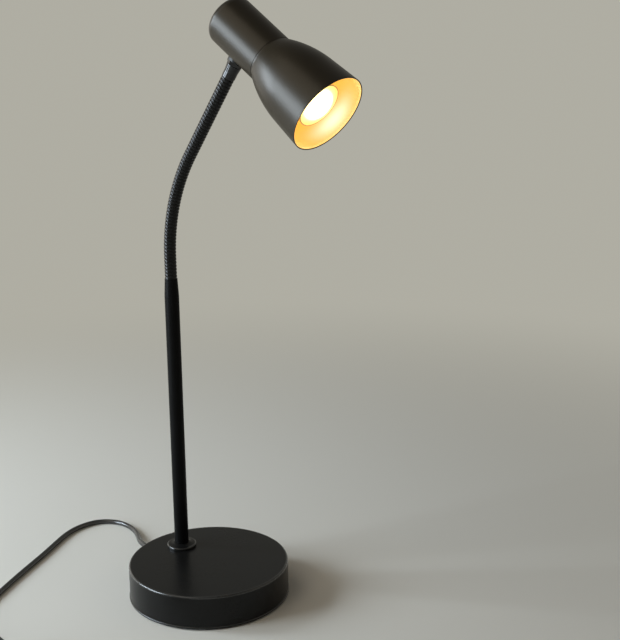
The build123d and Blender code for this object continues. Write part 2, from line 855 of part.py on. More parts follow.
def coil_point(turn):
    """Place on the coil after a number of turns: inwards below, outwards above."""
    middle = coil_turns / 2
    radius = coil_least_radius + coil_pitch * abs(turn - middle)
    climb = min(max((turn - middle) / climb_share + 1 / 2, 0), 1)
    height = coil_start.Z + coil_pitch * climb
    angle = math.pi + 2 * math.pi * turn
    return Vector(coil_centre.X + radius * math.cos(angle), coil_centre.Y + radius * math.sin(angle), height)


def coil_direction(turn):
    """Unit direction of the coil; level and round at its ends and where the climb starts and stops."""
    middle = coil_turns / 2
    angle = math.pi + 2 * math.pi * turn
    around = Vector(-math.sin(angle), math.cos(angle), 0)
    if turn in (0, coil_turns):
        return around
    outward = Vector(math.cos(angle), math.sin(angle), 0)
    radius = coil_least_radius + coil_pitch * abs(turn - middle)
    drift = 0 if turn == middle else math.copysign(coil_pitch, turn - middle)
    rise = coil_pitch / climb_share if turn == middle else 0
    return (around * (2 * math.pi * radius) + outward * drift + Vector(0, 0, 1) * rise).normalized()


def biarc(start, start_direction, end, end_direction):
    """Two arcs that join two places smoothly in given directions."""
    across = end - start
    both = start_direction + end_direction
    square = 2 * (1 - start_direction.dot(end_direction))
    slope = across.dot(both)
    reach = (-slope + math.sqrt(slope ** 2 + square * across.dot(across))) / square
    middle = (start + end + (start_direction - end_direction) * reach) / 2
    first = Edge.make_tangent_arc(start, start_direction, middle)
    return [first, Edge.make_tangent_arc(middle, first % 1, end)]


def cord_coil():
    """One unbroken length of cord in two layers, with a short straight end at each side."""
    quarters = [step / 4 for step in range(4 * coil_turns + 1)]
    edges = [Edge.make_line(coil_start, coil_point(0))]
    for here, there in zip(quarters, quarters[1:]):
        edges += biarc(coil_point(here), coil_direction(here), coil_point(there), coil_direction(there))
    edges.append(Edge.make_line(coil_point(coil_turns), coil_exit))
    path = Wire(edges)
    count = coil_turns * coil_samples
    places = [path @ (step / count) for step in range(count + 1)]
    skip = math.ceil(2 * cord_diameter / (path.length / count))
    pairs = ((here, there) for number, here in enumerate(places) for there in places[number + skip:])
    least = min((here - there).length for here, there in pairs)
    print("coil length", round(path.length, 1), "least gap to itself", round(least - cord_diameter, 2))
    return tube(path, cord_radius)


def cord_tie():
    """Band round the turns of the coil, across its right-hand side."""
    inner = math.sqrt(coil_least_radius ** 2 - (tie_width / 2) ** 2) - cord_radius - soft_gap
    outer = coil_most_radius - coil_pitch / 2 + cord_radius + soft_gap
    low = coil_start.Z - cord_radius - soft_gap
    high = coil_end_height + cord_radius + soft_gap
    width = outer - inner
    height = high - low
    middle = Pos(coil_centre.X + (inner + outer) / 2, coil_centre.Y, (low + high) / 2) * Rot(90, 0, 0)
    hole = RectangleRounded(width, height, tie_round)
    band = RectangleRounded(width + 2 * tie_thickness, height + 2 * tie_thickness, tie_round + tie_thickness)
    return middle * extrude(band - hole, tie_width / 2, both=True)


# Switch on the cord: two half shells, a rocker on a pivot and the screws that close it
switch_middle = (switch_front + switch_back) / 2
pivot_height = switch_height - pivot_drop


def switch_half(low, high):
    half = block(switch_width, switch_length, low, high, switch_x, switch_middle)
    return fillet(half.edges().filter_by(Axis.Z), switch_round)


def switch_screw_places():
    span = switch_length - 2 * switch_screw_inset
    return [Pos(switch_x, switch_middle + side * span / 2, 0) for side in (-1, 1)]


def switch_inside(low, high):
    """Room inside the halves between two heights."""
    width = switch_width - 2 * switch_wall
    length = switch_length - 2 * switch_wall
    return block(width, length, low, high, switch_x, switch_middle)


def wire_way(face):
    """Hole through an end wall for the cord's two wires side by side."""
    bar = Cylinder(wire_diameter, 2 * (switch_wall + overrun))
    return Pos(switch_x, face, switch_split) * Rot(90, 0, 0) * bar


def switch_base():
    """Lower half: a tray with a pillar for each screw."""
    tray = switch_half(0, switch_split) - switch_inside(switch_wall, switch_split + overrun)
    for place in switch_screw_places():
        tray += place * rod(switch_pillar_diameter / 2, switch_wall / 2, switch_split)
        tray -= place * rod(switch_screw_diameter / 2 + fit_gap, -overrun, switch_split + overrun)
        tray -= place * rod(switch_screw_head / 2 + fit_gap, -overrun, switch_screw_head_height)
    return tray - wire_way(switch_front) - wire_way(switch_back)


def switch_cover():
    """Upper half: a lid with the rocker's window and its pivot holes."""
    lid = switch_half(switch_split, switch_height)
    lid = fillet(lid.edges().group_by(Axis.Z)[-1], switch_wall)
    lid -= switch_inside(switch_split - overrun, switch_height - switch_wall)
    ceiling = switch_height - switch_wall / 2
    window = rocker_width + 2 * rocker_gap
    cheek = window + 2 * (pivot_reach + switch_wall)
    lid += block(cheek, rocker_length / 2, switch_split + switch_wall, ceiling, switch_x, switch_middle)
    bore = switch_screw_diameter / 2 + fit_gap
    for place in switch_screw_places():
        lid += place * rod(switch_pillar_diameter / 2, switch_split, ceiling)
        lid -= place * rod(bore, switch_split - overrun, switch_screw_length + overrun)
    lid -= block(window, rocker_length + 2 * rocker_gap, switch_split - overrun, switch_height + overrun,
                 switch_x, switch_middle)
    pivot = Cylinder(pivot_diameter / 2 + pivot_gap, window + 2 * (pivot_reach + pivot_gap))
    lid -= Pos(switch_x, switch_middle, pivot_height - rocker_rise) * Rot(0, 90, 0) * pivot
    return lid - wire_way(switch_front) - wire_way(switch_back)


def switch_rocker():
    """Rocker with a shallow V on top, lying over on its front side, and its pivot."""
    half = rocker_length / 2
    rise = half * math.tan(math.radians(rocker_throw / 2))
    top = rise + rocker_rise
    low = -rocker_depth / 2
    side = half * rocker_side_share
    belly = half * rocker_belly_share
    profile = Polyline((0, -half, top), (0, 0, rocker_rise), (0, half, top), (0, side, 0), (0, belly, low),
                       (0, -belly, low), (0, -side, 0), close=True)
    body = extrude(make_face(profile), rocker_width / 2, both=True)
    body += Rot(0, 90, 0) * Cylinder(pivot_diameter / 2, rocker_width + 2 * (rocker_gap + pivot_reach))
    return Pos(switch_x, switch_middle, pivot_height - rocker_rise) * Rot(rocker_throw / 2, 0, 0) * body


def switch_screws():
    shank = rod(switch_screw_diameter / 2, switch_screw_head_height, switch_screw_length)
    head_radius = switch_screw_head / 2
    head = slotted(rod(head_radius, soft_gap, switch_screw_head_height), head_radius, soft_gap)
    return Compound(children=[place * (head + shank) for place in switch_screw_places()])


# Flat two-pin plug
def plug_body():
    """Grip that narrows to the nose, with a tapered relief at the cord's end."""
    relief_end = plug_back - plug_relief_length
    shoulder = -plug_length * plug_shoulder_share
    back = plug_back_width / 2
    widest = plug_width / 2
    tip = plug_nose_width / 2
    face = Polyline((-back, 0), (-widest, shoulder), (-tip, -plug_length), (tip, -plug_length),
                    (widest, shoulder), (back, 0), close=True)
    grip = Pos(switch_x, relief_end, 0) * extrude(make_face(face), plug_thickness)
    grip = fillet(grip.edges().group_by(Axis.Z)[-1] + grip.edges().group_by(Axis.Z)[0], plug_round)
    reach = plug_relief_length + plug_round
    cone = outline((0, 0), (plug_relief_tip_diameter / 2, 0), (plug_relief_diameter / 2, reach), (0, reach))
    plug = grip + Pos(switch_x, plug_back, plug_axis) * Rot(90, 0, 0) * turned(cone)
    for side in (-1, 1):
        plug -= plug_pin(side, fit_gap)
    return plug


def plug_pin(side, room):
    """Round pin with a domed end, seated in the nose."""
    nose = plug_back - plug_relief_length - plug_length
    radius = pin_diameter / 2 + room
    reach = pin_seat + pin_length - pin_diameter / 2
    pin = rod(radius, -room, reach) + Pos(0, 0, reach) * Sphere(radius)
    return Pos(switch_x + side * pin_spacing / 2, nose + pin_seat, plug_axis) * Rot(90, 0, 0) * pin


def plug_pins():
    return Compound(children=[plug_pin(side, 0) for side in (-1, 1)])


makers = [
    foot_pad, bottom_screws, bottom_plate, base_shell, ballast_disc, cord_bushing, base_lead,
    cord_clamp, clamp_screws, terminal_block, terminal_screws, base_wires, stem_collar, stem_tube,
    stem_nipple, stem_washer, stem_nut, stem_taper, stem_lead, neck_lead, neck_ferrule, lock_nut,
    head_saddle, head_nipple, head_nut, holder_bracket, holder_screw, lampholder, holder_sleeve,
    holder_contact, shade_ring, head_lead, socket_cup, shade_bell, bulb_contact, bulb_cap,
    bulb_reflector, bulb_lens, cord_run, cord_link, cord_tail, cord_coil, cord_tie, switch_base,
    switch_cover, switch_rocker, switch_screws, plug_body, plug_pins]

os.makedirs("parts", exist_ok=True)
for maker in makers:
    export_step(maker(), "parts/" + maker.__name__ + ".step")
for number in range(1, neck_links + 1):
    export_step(neck_link(number), "parts/neck_link_" + str(number) + ".step")
print("neck joints along the neck", [round(neck_joint(number), 2) for number in range(1, neck_links)])
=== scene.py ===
import math
import bmesh
import bpy
from mathutils import Matrix, Vector


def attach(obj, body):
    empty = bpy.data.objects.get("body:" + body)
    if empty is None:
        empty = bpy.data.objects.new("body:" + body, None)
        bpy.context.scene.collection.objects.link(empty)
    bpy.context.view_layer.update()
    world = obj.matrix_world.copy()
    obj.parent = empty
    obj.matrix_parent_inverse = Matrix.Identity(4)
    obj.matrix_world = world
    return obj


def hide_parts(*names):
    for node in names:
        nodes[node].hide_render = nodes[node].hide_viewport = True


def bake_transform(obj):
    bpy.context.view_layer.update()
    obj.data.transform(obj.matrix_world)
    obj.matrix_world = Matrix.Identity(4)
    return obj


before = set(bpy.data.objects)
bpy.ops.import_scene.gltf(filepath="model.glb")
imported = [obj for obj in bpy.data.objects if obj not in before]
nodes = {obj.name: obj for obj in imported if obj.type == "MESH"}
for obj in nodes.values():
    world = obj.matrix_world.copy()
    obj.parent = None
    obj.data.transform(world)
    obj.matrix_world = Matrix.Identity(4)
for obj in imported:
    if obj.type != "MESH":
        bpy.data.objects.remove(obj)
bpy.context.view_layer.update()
scene = bpy.context.scene
scene.view_settings.view_transform = "Standard"
mm = 0.001
tiny = 1e-9
fullTurn = 2 * math.pi


# A socket of a node tree: arithmetic on it adds Math nodes, and node() adds any other node
class Flow:
    def __init__(self, tree, socket=None):
        self.tree = tree
        self.socket = socket

    def node(self, kind, settings=None, values=None, out=0):
        made = self.tree.nodes.new(kind)
        for key, value in (settings or {}).items():
            if key == "stops":
                ramp = made.color_ramp
                while len(ramp.elements) < len(value):
                    ramp.elements.new(0.5)
                for element, (place, tint) in zip(ramp.elements, value):
                    element.position = place
                    element.color = tint
            else:
                setattr(made, key, value)
        for key, value in (values or {}).items():
            if isinstance(value, Flow):
                self.tree.links.new(value.socket, made.inputs[key])
            else:
                made.inputs[key].default_value = value
        return Flow(self.tree, made.outputs[out])

    def math(self, operation, first, second=0.0):
        return self.node("ShaderNodeMath", {"operation": operation}, {0: first, 1: second})

    def vector(self, operation, first, second=(0.0, 0.0, 0.0), out=0):
        return self.node("ShaderNodeVectorMath", {"operation": operation}, {0: first, 1: second}, out)

    def mix(self, share, first, second):
        return self.node("ShaderNodeMix", {"data_type": "RGBA"}, {0: share, 6: first, 7: second}, 2)

    def ramp(self, share, stops):
        return self.node("ShaderNodeValToRGB", {"stops": stops}, {0: share})

    def span(self, value, low, high, first, last, kind="LINEAR"):  # low to high becomes first to last
        return self.node("ShaderNodeMapRange", {"interpolation_type": kind, "clamp": True},
                         {0: value, 1: low, 2: high, 3: first, 4: last})

    def noise(self, place, scale, detail, roughness=0.5):
        return self.node(
            "ShaderNodeTexNoise",
            values={"Vector": place, "Scale": scale, "Detail": detail, "Roughness": roughness})

    def mark(self, name):  # a value that the mesh carries
        return self.node("ShaderNodeAttribute", {"attribute_name": name}, out="Fac")

    def bump(self, height, strength, depth):
        return self.node("ShaderNodeBump", values={"Strength": strength, "Distance": depth, "Height": height})

    def into(self, node, name):
        self.tree.links.new(self.socket, node.inputs[name])

    def __add__(self, other):
        return self.math("ADD", self, other)

    def __radd__(self, other):
        return self.math("ADD", other, self)

    def __sub__(self, other):
        return self.math("SUBTRACT", self, other)

    def __rsub__(self, other):
        return self.math("SUBTRACT", other, self)

    def __mul__(self, other):
        return self.math("MULTIPLY", self, other)

    def __rmul__(self, other):
        return self.math("MULTIPLY", other, self)

    def __truediv__(self, other):
        return self.math("DIVIDE", self, other)

    def __rtruediv__(self, other):
        return self.math("DIVIDE", other, self)


def colour(red, green, blue):
    return (red, green, blue, 1.0)


def newFinish(name, fixed):
    material = bpy.data.materials.new(name)
    material.use_nodes = True
    shader = material.node_tree.nodes["Principled BSDF"]
    for key, value in fixed.items():
        shader.inputs[key].default_value = value
    start = Flow(material.node_tree)
    return material, start, shader, start.node("ShaderNodeTexCoord", out="Object")


# What finishes have in common; each one below states only what differs
plainLook = {
    "patchScale": 60.0, "grainScale": 1500.0, "roughnessSpread": 0.10, "grainSpread": 0.08, "bump": 0.08,
    "bumpDepth": 0.0001, "wear": 0.0, "wornShine": 0.1, "speck": 0.0, "fixed": {}}
textureLook = {
    "middle": 0.5, "patchDetail": 4.0, "grainDetail": 2.0, "grainRoughness": 0.55, "wornGrain": 0.15,
    "wornFrom": 0.40, "wornFull": 0.75, "speckFrom": 0.62, "speckFull": 0.8}


# Paint, plastic, rubber and metal share one graph: broad patches, fine grain and worn edges
def surfaceFinish(name, look):
    look = {**plainLook, "speckColour": look["patchColour"], "wornColour": look["patchColour"], **look}
    material, start, shader, place = newFinish(name, look["fixed"])
    patch = start.noise(place, look["patchScale"], textureLook["patchDetail"])
    grain = start.noise(place, look["grainScale"], textureLook["grainDetail"], textureLook["grainRoughness"])
    edge = start.mark("edge")
    worn = start.span(
        edge * (patch + grain * textureLook["wornGrain"]), textureLook["wornFrom"], textureLook["wornFull"],
        0.0, look["wear"])
    speck = start.span(grain, textureLook["speckFrom"], textureLook["speckFull"], 0.0, look["speck"])
    tone = start.mix(patch, look["colour"], look["patchColour"])
    tone = start.mix(speck, tone, look["speckColour"])
    start.mix(worn, tone, look["wornColour"]).into(shader, "Base Color")
    rough = look["roughness"] + (patch - textureLook["middle"]) * look["roughnessSpread"]
    rough = rough + (grain - textureLook["middle"]) * look["grainSpread"]
    (rough - worn * look["wornShine"]).into(shader, "Roughness")
    if "edgeCoat" in look:
        (edge * look["edgeCoat"]).into(shader, "Coat Weight")
    start.bump(grain, look["bump"], look["bumpDepth"]).into(shader, "Normal")
    return material


basePaint = surfaceFinish("satinBaseBlack", {
    "colour": colour(0.0058, 0.0058, 0.0056), "patchColour": colour(0.0092, 0.0092, 0.0088),
    "patchScale": 28.0, "grainScale": 1900.0, "roughness": 0.29, "bump": 0.16, "bumpDepth": 0.00012,
    "wear": 0.35, "wornColour": colour(0.05, 0.05, 0.048), "edgeCoat": 1.0,
    "fixed": {"Specular IOR Level": 0.21, "Coat Roughness": 0.18}})
stemPaint = surfaceFinish("stemBlack", {
    "colour": colour(0.004, 0.004, 0.004), "patchColour": colour(0.0065, 0.0065, 0.0064), "patchScale": 35.0,
    "grainScale": 2300.0, "roughness": 0.38, "grainSpread": 0.06, "bump": 0.12, "wear": 0.4,
    "wornColour": colour(0.06, 0.06, 0.058), "fixed": {"Specular IOR Level": 0.06}})
headPaint = surfaceFinish("satinHeadBlack", {
    "colour": colour(0.0135, 0.0088, 0.0026), "patchColour": colour(0.0180, 0.0120, 0.0042),
    "patchScale": 26.0, "grainScale": 2100.0, "roughness": 0.37, "roughnessSpread": 0.08, "grainSpread": 0.06,
    "bump": 0.10, "wear": 0.35, "wornColour": colour(0.07, 0.066, 0.06),
    "fixed": {"Specular IOR Level": 0.45, "Specular Tint": colour(1.0, 0.965, 0.90)}})
ribGloss = surfaceFinish("neckRibGloss", {
    "colour": colour(0.0035, 0.0035, 0.0035), "patchColour": colour(0.006, 0.006, 0.0058), "roughness": 0.14,
    "roughnessSpread": 0.06, "grainSpread": 0.04, "bump": 0.05, "fixed": {"Specular IOR Level": 0.22}})
ferruleGloss = surfaceFinish("ferruleGloss", {
    "colour": colour(0.0035, 0.0035, 0.0035), "patchColour": colour(0.006, 0.006, 0.0058), "patchScale": 70.0,
    "roughness": 0.11, "roughnessSpread": 0.04, "grainSpread": 0.02, "bump": 0.02,
    "fixed": {"Specular IOR Level": 0.42}})
zinc = surfaceFinish("zincPlate", {
    "colour": colour(0.56, 0.57, 0.58), "patchColour": colour(0.68, 0.68, 0.69), "patchScale": 180.0,
    "grainScale": 1300.0, "roughness": 0.30, "roughnessSpread": 0.18, "grainSpread": 0.1,
    "fixed": {"Metallic": 1.0}})
dullSteel = surfaceFinish("dullSteel", {
    "colour": colour(0.030, 0.030, 0.030), "patchColour": colour(0.045, 0.045, 0.044), "patchScale": 180.0,
    "grainScale": 1300.0, "roughness": 0.40, "roughnessSpread": 0.15, "grainSpread": 0.1,
    "fixed": {"Metallic": 1.0}})
iron = surfaceFinish("castIron", {
    "colour": colour(0.05, 0.05, 0.052), "patchColour": colour(0.085, 0.082, 0.08), "patchScale": 70.0,
    "grainScale": 620.0, "roughness": 0.68, "roughnessSpread": 0.15, "grainSpread": 0.15, "bump": 0.5,
    "bumpDepth": 0.0004, "speck": 0.4, "speckColour": colour(0.12, 0.075, 0.05), "fixed": {"Metallic": 0.6}})
foam = surfaceFinish("footFoam", {
    "colour": colour(0.016, 0.016, 0.017), "patchColour": colour(0.028, 0.028, 0.028), "patchScale": 90.0,
    "grainScale": 1100.0, "roughness": 0.93, "roughnessSpread": 0.05, "bump": 0.8, "bumpDepth": 0.0004})
cordSheath = surfaceFinish("cordSheath", {
    "colour": colour(0.016, 0.016, 0.0165), "patchColour": colour(0.026, 0.026, 0.026), "patchScale": 55.0,
    "grainScale": 900.0, "roughness": 0.22, "roughnessSpread": 0.08, "grainSpread": 0.06, "bump": 0.06,
    "bumpDepth": 0.00015, "fixed": {"Specular IOR Level": 0.9}})
mouldedBlack = surfaceFinish("mouldedBlack", {
    "colour": colour(0.013, 0.013, 0.0135), "patchColour": colour(0.019, 0.019, 0.019), "patchScale": 45.0,
    "grainScale": 1600.0, "roughness": 0.52, "grainSpread": 0.12, "bump": 0.35, "bumpDepth": 0.0002,
    "wear": 0.3, "wornColour": colour(0.04, 0.04, 0.04), "wornShine": 0.15})
rockerGloss = surfaceFinish("rockerGloss", {
    "colour": colour(0.011, 0.011, 0.0115), "patchColour": colour(0.016, 0.016, 0.016), "patchScale": 90.0,
    "grainScale": 2000.0, "roughness": 0.24, "roughnessSpread": 0.12, "grainSpread": 0.05, "bump": 0.05})
palePlastic = surfaceFinish("terminalPlastic", {
    "colour": colour(0.62, 0.60, 0.54), "patchColour": colour(0.70, 0.68, 0.62), "grainScale": 1400.0,
    "roughness": 0.45, "grainSpread": 0.05})
brass = surfaceFinish("brassContact", {
    "colour": colour(0.72, 0.50, 0.22), "patchColour": colour(0.62, 0.42, 0.19), "patchScale": 150.0,
    "roughness": 0.28, "roughnessSpread": 0.2, "bump": 0.06, "fixed": {"Metallic": 1.0}})
nickel = surfaceFinish("nickelPin", {
    "colour": colour(0.62, 0.60, 0.56), "patchColour": colour(0.70, 0.68, 0.64), "patchScale": 160.0,
    "roughness": 0.22, "roughnessSpread": 0.12, "bump": 0.05, "fixed": {"Metallic": 1.0}})


# Frosted glass of the lit bulb: white at the middle of its glow, amber towards the rim
def glassFinish(name, look):
    material, start, shader, place = newFinish(name, {
        "Emission Strength": look["strength"], "Roughness": look["roughness"], "Base Color": look["glass"]})
    frost = start.noise(place, look["frostScale"], textureLook["grainDetail"])
    shade = start.mark("outward") + (frost - textureLook["middle"]) * look["frostShare"]
    start.ramp(shade, look["stops"]).into(shader, "Emission Color")
    start.bump(frost, look["bump"], plainLook["bumpDepth"]).into(shader, "Normal")
    return material


litLens = glassFinish("litLens", {
    "strength": 9.0, "roughness": 0.35, "glass": colour(0.9, 0.80, 0.60), "frostScale": 900.0,
    "frostShare": 0.03, "bump": 0.15,
    "stops": [(0.0, colour(1.0, 0.82, 0.50)), (0.50, colour(0.80, 0.58, 0.27)),
              (0.76, colour(0.21, 0.155, 0.038)), (0.95, colour(0.122, 0.096, 0.019)),
              (0.97, colour(0.062, 0.042, 0.005)), (1.0, colour(0.04, 0.024, 0.003))]})
litBowl = glassFinish("litBowl", {
    "strength": 1.0, "roughness": 0.22, "glass": colour(0.5, 0.42, 0.30), "frostScale": 500.0,
    "frostShare": 0.10, "bump": 0.15,
    "stops": [(0.0, colour(0.9, 0.45, 0.14)), (0.7, colour(0.9, 0.48, 0.15)),
              (0.96, colour(0.55, 0.27, 0.08)), (1.0, colour(0.20, 0.10, 0.02))]})


# Pale gloss paint inside the shade, with a painted warm glow that stands in for the bulb's light on it and a
# painted highlight patch beside the bulb's rim
def liningFinish(look):
    material, start, shader, place = newFinish("creamLining", {
        "Emission Strength": look["strength"], "Coat Weight": look["coat"],
        "Coat Roughness": look["coatRoughness"]})
    patch = start.noise(place, look["patchScale"], textureLook["patchDetail"])
    grain = start.noise(place, look["grainScale"], textureLook["grainDetail"])
    uneven = patch - textureLook["middle"]
    start.mix(patch, look["colour"], look["patchColour"]).into(shader, "Base Color")
    (look["roughness"] + uneven * look["roughnessSpread"]).into(shader, "Roughness")
    # Painted warm glow: emission that stands in for the bulb's light on the lining, darker towards the
    # shade's root and brightest at the mouth's edge
    warm = start.ramp(start.mark("forward") + uneven * look["warmSpread"], look["stops"])
    # Painted highlight: a bright patch on one side of the lining, beside the bulb's rim
    start.mix(start.mark("hot"), warm, look["paintedHighlightColour"]).into(shader, "Emission Color")
    start.bump(grain, look["bump"], plainLook["bumpDepth"]).into(shader, "Normal")
    return material


# The lining's emission is painted light: a warm glow for the bulb's light and a painted highlight patch
liningPaint = liningFinish({
    "colour": colour(0.80, 0.64, 0.34), "patchColour": colour(0.84, 0.70, 0.40), "patchScale": 40.0,
    "grainScale": 1700.0, "roughness": 0.34, "roughnessSpread": 0.08, "bump": 0.1, "coat": 0.7,
    "coatRoughness": 0.16, "strength": 1.0, "warmSpread": 0.004, "paintedHighlightColour": colour(1.0, 1.0, 0.74),
    "stops": [(0.0, colour(0.30, 0.13, 0.02)), (0.60, colour(0.62, 0.29, 0.038)),
              (0.86, colour(0.62, 0.29, 0.042)), (0.96, colour(0.56, 0.27, 0.04)),
              (0.985, colour(0.74, 0.47, 0.13))]})


# Woven band for the tie: two sets of fine ribs
def bandFinish(look):
    material, start, shader, place = newFinish("tieBand", {"Roughness": look["roughness"]})
    weave = start.math("MAXIMUM", *[
        start.node("ShaderNodeTexWave", {"bands_direction": way}, {"Vector": place, "Scale": look["scale"]})
        for way in ("Y", "DIAGONAL")])
    start.mix(weave, look["colour"], look["ridgeColour"]).into(shader, "Base Color")
    start.bump(weave, look["bump"], look["bumpDepth"]).into(shader, "Normal")
    return material


tieBand = bandFinish({
    "roughness": 0.85, "scale": 420.0, "colour": colour(0.012, 0.012, 0.013),
    "ridgeColour": colour(0.035, 0.035, 0.036), "bump": 0.6, "bumpDepth": 0.0002})
print("finishes made:", len(bpy.data.materials))


# Points between two places on an arc that leaves the first one in a given direction
def arcPoints(start, direction, end, steps):
    across = (end[0] - start[0], end[1] - start[1])
    normal = (-direction[1], direction[0])
    reach = across[0] * normal[0] + across[1] * normal[1]
    if abs(reach) < tiny:
        return [start, end]
    radius = (across[0] ** 2 + across[1] ** 2) / (2 * reach)
    centre = (start[0] + normal[0] * radius, start[1] + normal[1] * radius)
    first = math.atan2(start[1] - centre[1], start[0] - centre[0])
    last = math.atan2(end[1] - centre[1], end[0] - centre[0])
    turn = (last - first) % fullTurn
    if radius < 0:
        turn -= fullTurn
    angles = [first + turn * k / steps for k in range(steps + 1)]
    size = abs(radius)
    return [(centre[0] + size * math.cos(angle), centre[1] + size * math.sin(angle)) for angle in angles]


# Smooth wave from 0 to 1 and back in each turn
def wave(turns):
    return 0.5 - 0.5 * math.cos(fullTurn * turns)


# Points of a line as (radius, height, edge)
def marked(line, edge=0.0):
    return [(x, z, edge) for x, z in line]


# Corners as (radius, height, rounding), where a word stands for the piece's size of that name
def cornersOf(shape, *corners):
    return [tuple(shape.get(value, value) for value in (*corner, 0)[:3]) for corner in corners]


# Steps of a rounded corner, the most of a side that it takes, and the guard points that end its worn edge
cornerLook = {"steps": 7, "longest": 0.45, "guard": 0.3, "guardLongest": 0.25}


# Outline with its corners rounded, as (radius, height, edge) with edge 1 on the rounded corners
def softOutline(corners, closed, steps=cornerLook["steps"]):
    points = []
    count = len(corners)
    for k, (x, y, size) in enumerate(corners):
        if size <= 0 or (not closed and k in (0, count - 1)):
            points.append((x, y, 0.0))
            continue
        corner = Vector((x, y))
        before = Vector(corners[k - 1][:2]) - corner
        after = Vector(corners[(k + 1) % count][:2]) - corner
        shorter = min(before.length, after.length)
        cut = min(size / math.tan(before.angle(after) / 2), shorter * cornerLook["longest"])
        guard = min(cut * cornerLook["guard"], shorter * cornerLook["guardLongest"])
        before.normalize()
        after.normalize()
        enter = corner + before * cut
        leave = corner + after * cut
        points.append((*(enter + before * guard), 0.0))
        points += marked(arcPoints(tuple(enter), tuple(-before), tuple(leave), steps), 1.0)
        points.append((*(leave + after * guard), 0.0))
    return points


meshLook = {"merge": 1e-7, "sharp": 38.0, "pole": 1e-6}


def newPiece(name, bm, finish, place, sharp=meshLook["sharp"]):
    bmesh.ops.remove_doubles(bm, verts=bm.verts, dist=meshLook["merge"])
    bmesh.ops.recalc_face_normals(bm, faces=bm.faces)
    mesh = bpy.data.meshes.new(name)
    bm.to_mesh(mesh)
    bm.free()
    mesh.transform(place)
    mesh.polygons.foreach_set("use_smooth", [True] * len(mesh.polygons))
    mesh.set_sharp_from_angle(angle=math.radians(sharp))
    mesh.materials.append(finish)
    piece = bpy.data.objects.new(name, mesh)
    scene.collection.objects.link(piece)
    return piece


# Faces between rings of points; a ring of one point is a pole
def bridge(bm, rings, closed=False, capped=False):
    for low, high in zip(rings, rings[1:] + rings[:1] if closed else rings[1:]):
        count = max(len(low), len(high))
        for k in range(count):
            j = (k + 1) % count
            corners = [low[k % len(low)], low[j % len(low)], high[j % len(high)], high[k % len(high)]]
            corners = list(dict.fromkeys(corners))
            if len(corners) > 2:
                bm.faces.new(corners)
    if capped:
        bm.faces.new(rings[0])
        bm.faces.new(rings[-1])


def onRing(radius, angle, height):
    return (radius * mm * math.cos(angle), radius * mm * math.sin(angle), height * mm)


# Solid of revolution from (radius, height, edge) points in millimetres, about the Z axis of its place
def lathe(name, points, finish, place, segments, closed=False):
    bm = bmesh.new()
    edgeLayer = bm.verts.layers.float.new("edge")
    rings = []
    for radius, height, edge in points:
        if radius < meshLook["pole"]:
            ring = [bm.verts.new((0, 0, height * mm))]
        else:
            ring = [bm.verts.new(onRing(radius, fullTurn * k / segments, height)) for k in range(segments)]
        for vert in ring:
            vert[edgeLayer] = edge
        rings.append(ring)
    bridge(bm, rings, closed)
    return newPiece(name, bm, finish, place)


def lampPiece(piece, body, slot, *stoodFor):
    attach(piece, body)
    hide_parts(*stoodFor)
    return piece


# A turned piece from the corners of its section; its labels are its body, its slot, which is not used, and
# the node it stands for
def turnedPiece(name, shape, finish, place, closed, labels, *corners):
    outline = softOutline(cornersOf(shape, *corners), closed, shape.get("steps", cornerLook["steps"]))
    return lampPiece(lathe(name, outline, finish, place, shape["segments"], closed), *labels)


# Places: the stem's axis, the neck's line and the head's frame
neckShape = {
    "foot": (0.0, 43.0, 297.6), "turn": 8.6, "lean": 35.8, "straight": 20.0, "bendRadius": 160.0,
    "reach": 100.5, "links": 9, "crest": 5.65, "groove": 5.0, "pitch": 3.2, "around": 40,
    "stepsPerPitch": 12, "lineSteps": 240}
headShape = {"joint": 17.6, "axisAbove": 21.6, "creaseAhead": 30.6}
neckTurn = math.radians(neckShape["turn"])
neckLean = math.radians(neckShape["lean"])
bendTop = neckShape["straight"] + neckShape["bendRadius"] * neckLean
ribbedLength = bendTop + neckShape["reach"] - headShape["joint"]
heading = Vector((math.sin(neckTurn), -math.cos(neckTurn), 0))
sideways = Vector((math.cos(neckTurn), math.sin(neckTurn), 0))
upward = Vector((0, 0, 1))


def neckPoint(along):
    bend = neckShape["bendRadius"]
    lean = min(max(along - neckShape["straight"], 0) / bend, neckLean)
    beyond = max(along - bendTop, 0)
    reach = bend * (1 - math.cos(lean)) + beyond * math.sin(lean)
    rise = min(along, neckShape["straight"]) + bend * math.sin(lean) + beyond * math.cos(lean)
    return (Vector(neckShape["foot"]) + upward * rise + heading * reach) * mm


def placeOf(origin, xAxis, zAxis):
    turned = Matrix((xAxis, zAxis.cross(xAxis), zAxis)).transposed()
    return Matrix.Translation(origin) @ turned.to_4x4()


stemPlace = Matrix.Translation((0, neckShape["foot"][1] * mm, 0))
neckDirection = heading * math.sin(neckLean) + upward * math.cos(neckLean)
headDirection = heading * math.cos(neckLean) - upward * math.sin(neckLean)
neckTopPlace = placeOf(neckPoint(ribbedLength), sideways, neckDirection)
creaseFromSeat = neckDirection * headShape["axisAbove"] + headDirection * headShape["creaseAhead"]
creaseCentre = neckPoint(ribbedLength + headShape["joint"]) + creaseFromSeat * mm
headPlace = placeOf(creaseCentre, sideways, headDirection)


# A value for each vertex of a piece, from its spot in the head's frame in millimetres
def markPiece(piece, name, rule):
    mark = piece.data.attributes.new(name, "FLOAT", "POINT")
    back = headPlace.inverted()
    for vert in piece.data.vertices:
        mark.data[vert.index].value = rule((back @ vert.co) / mm)
    return piece


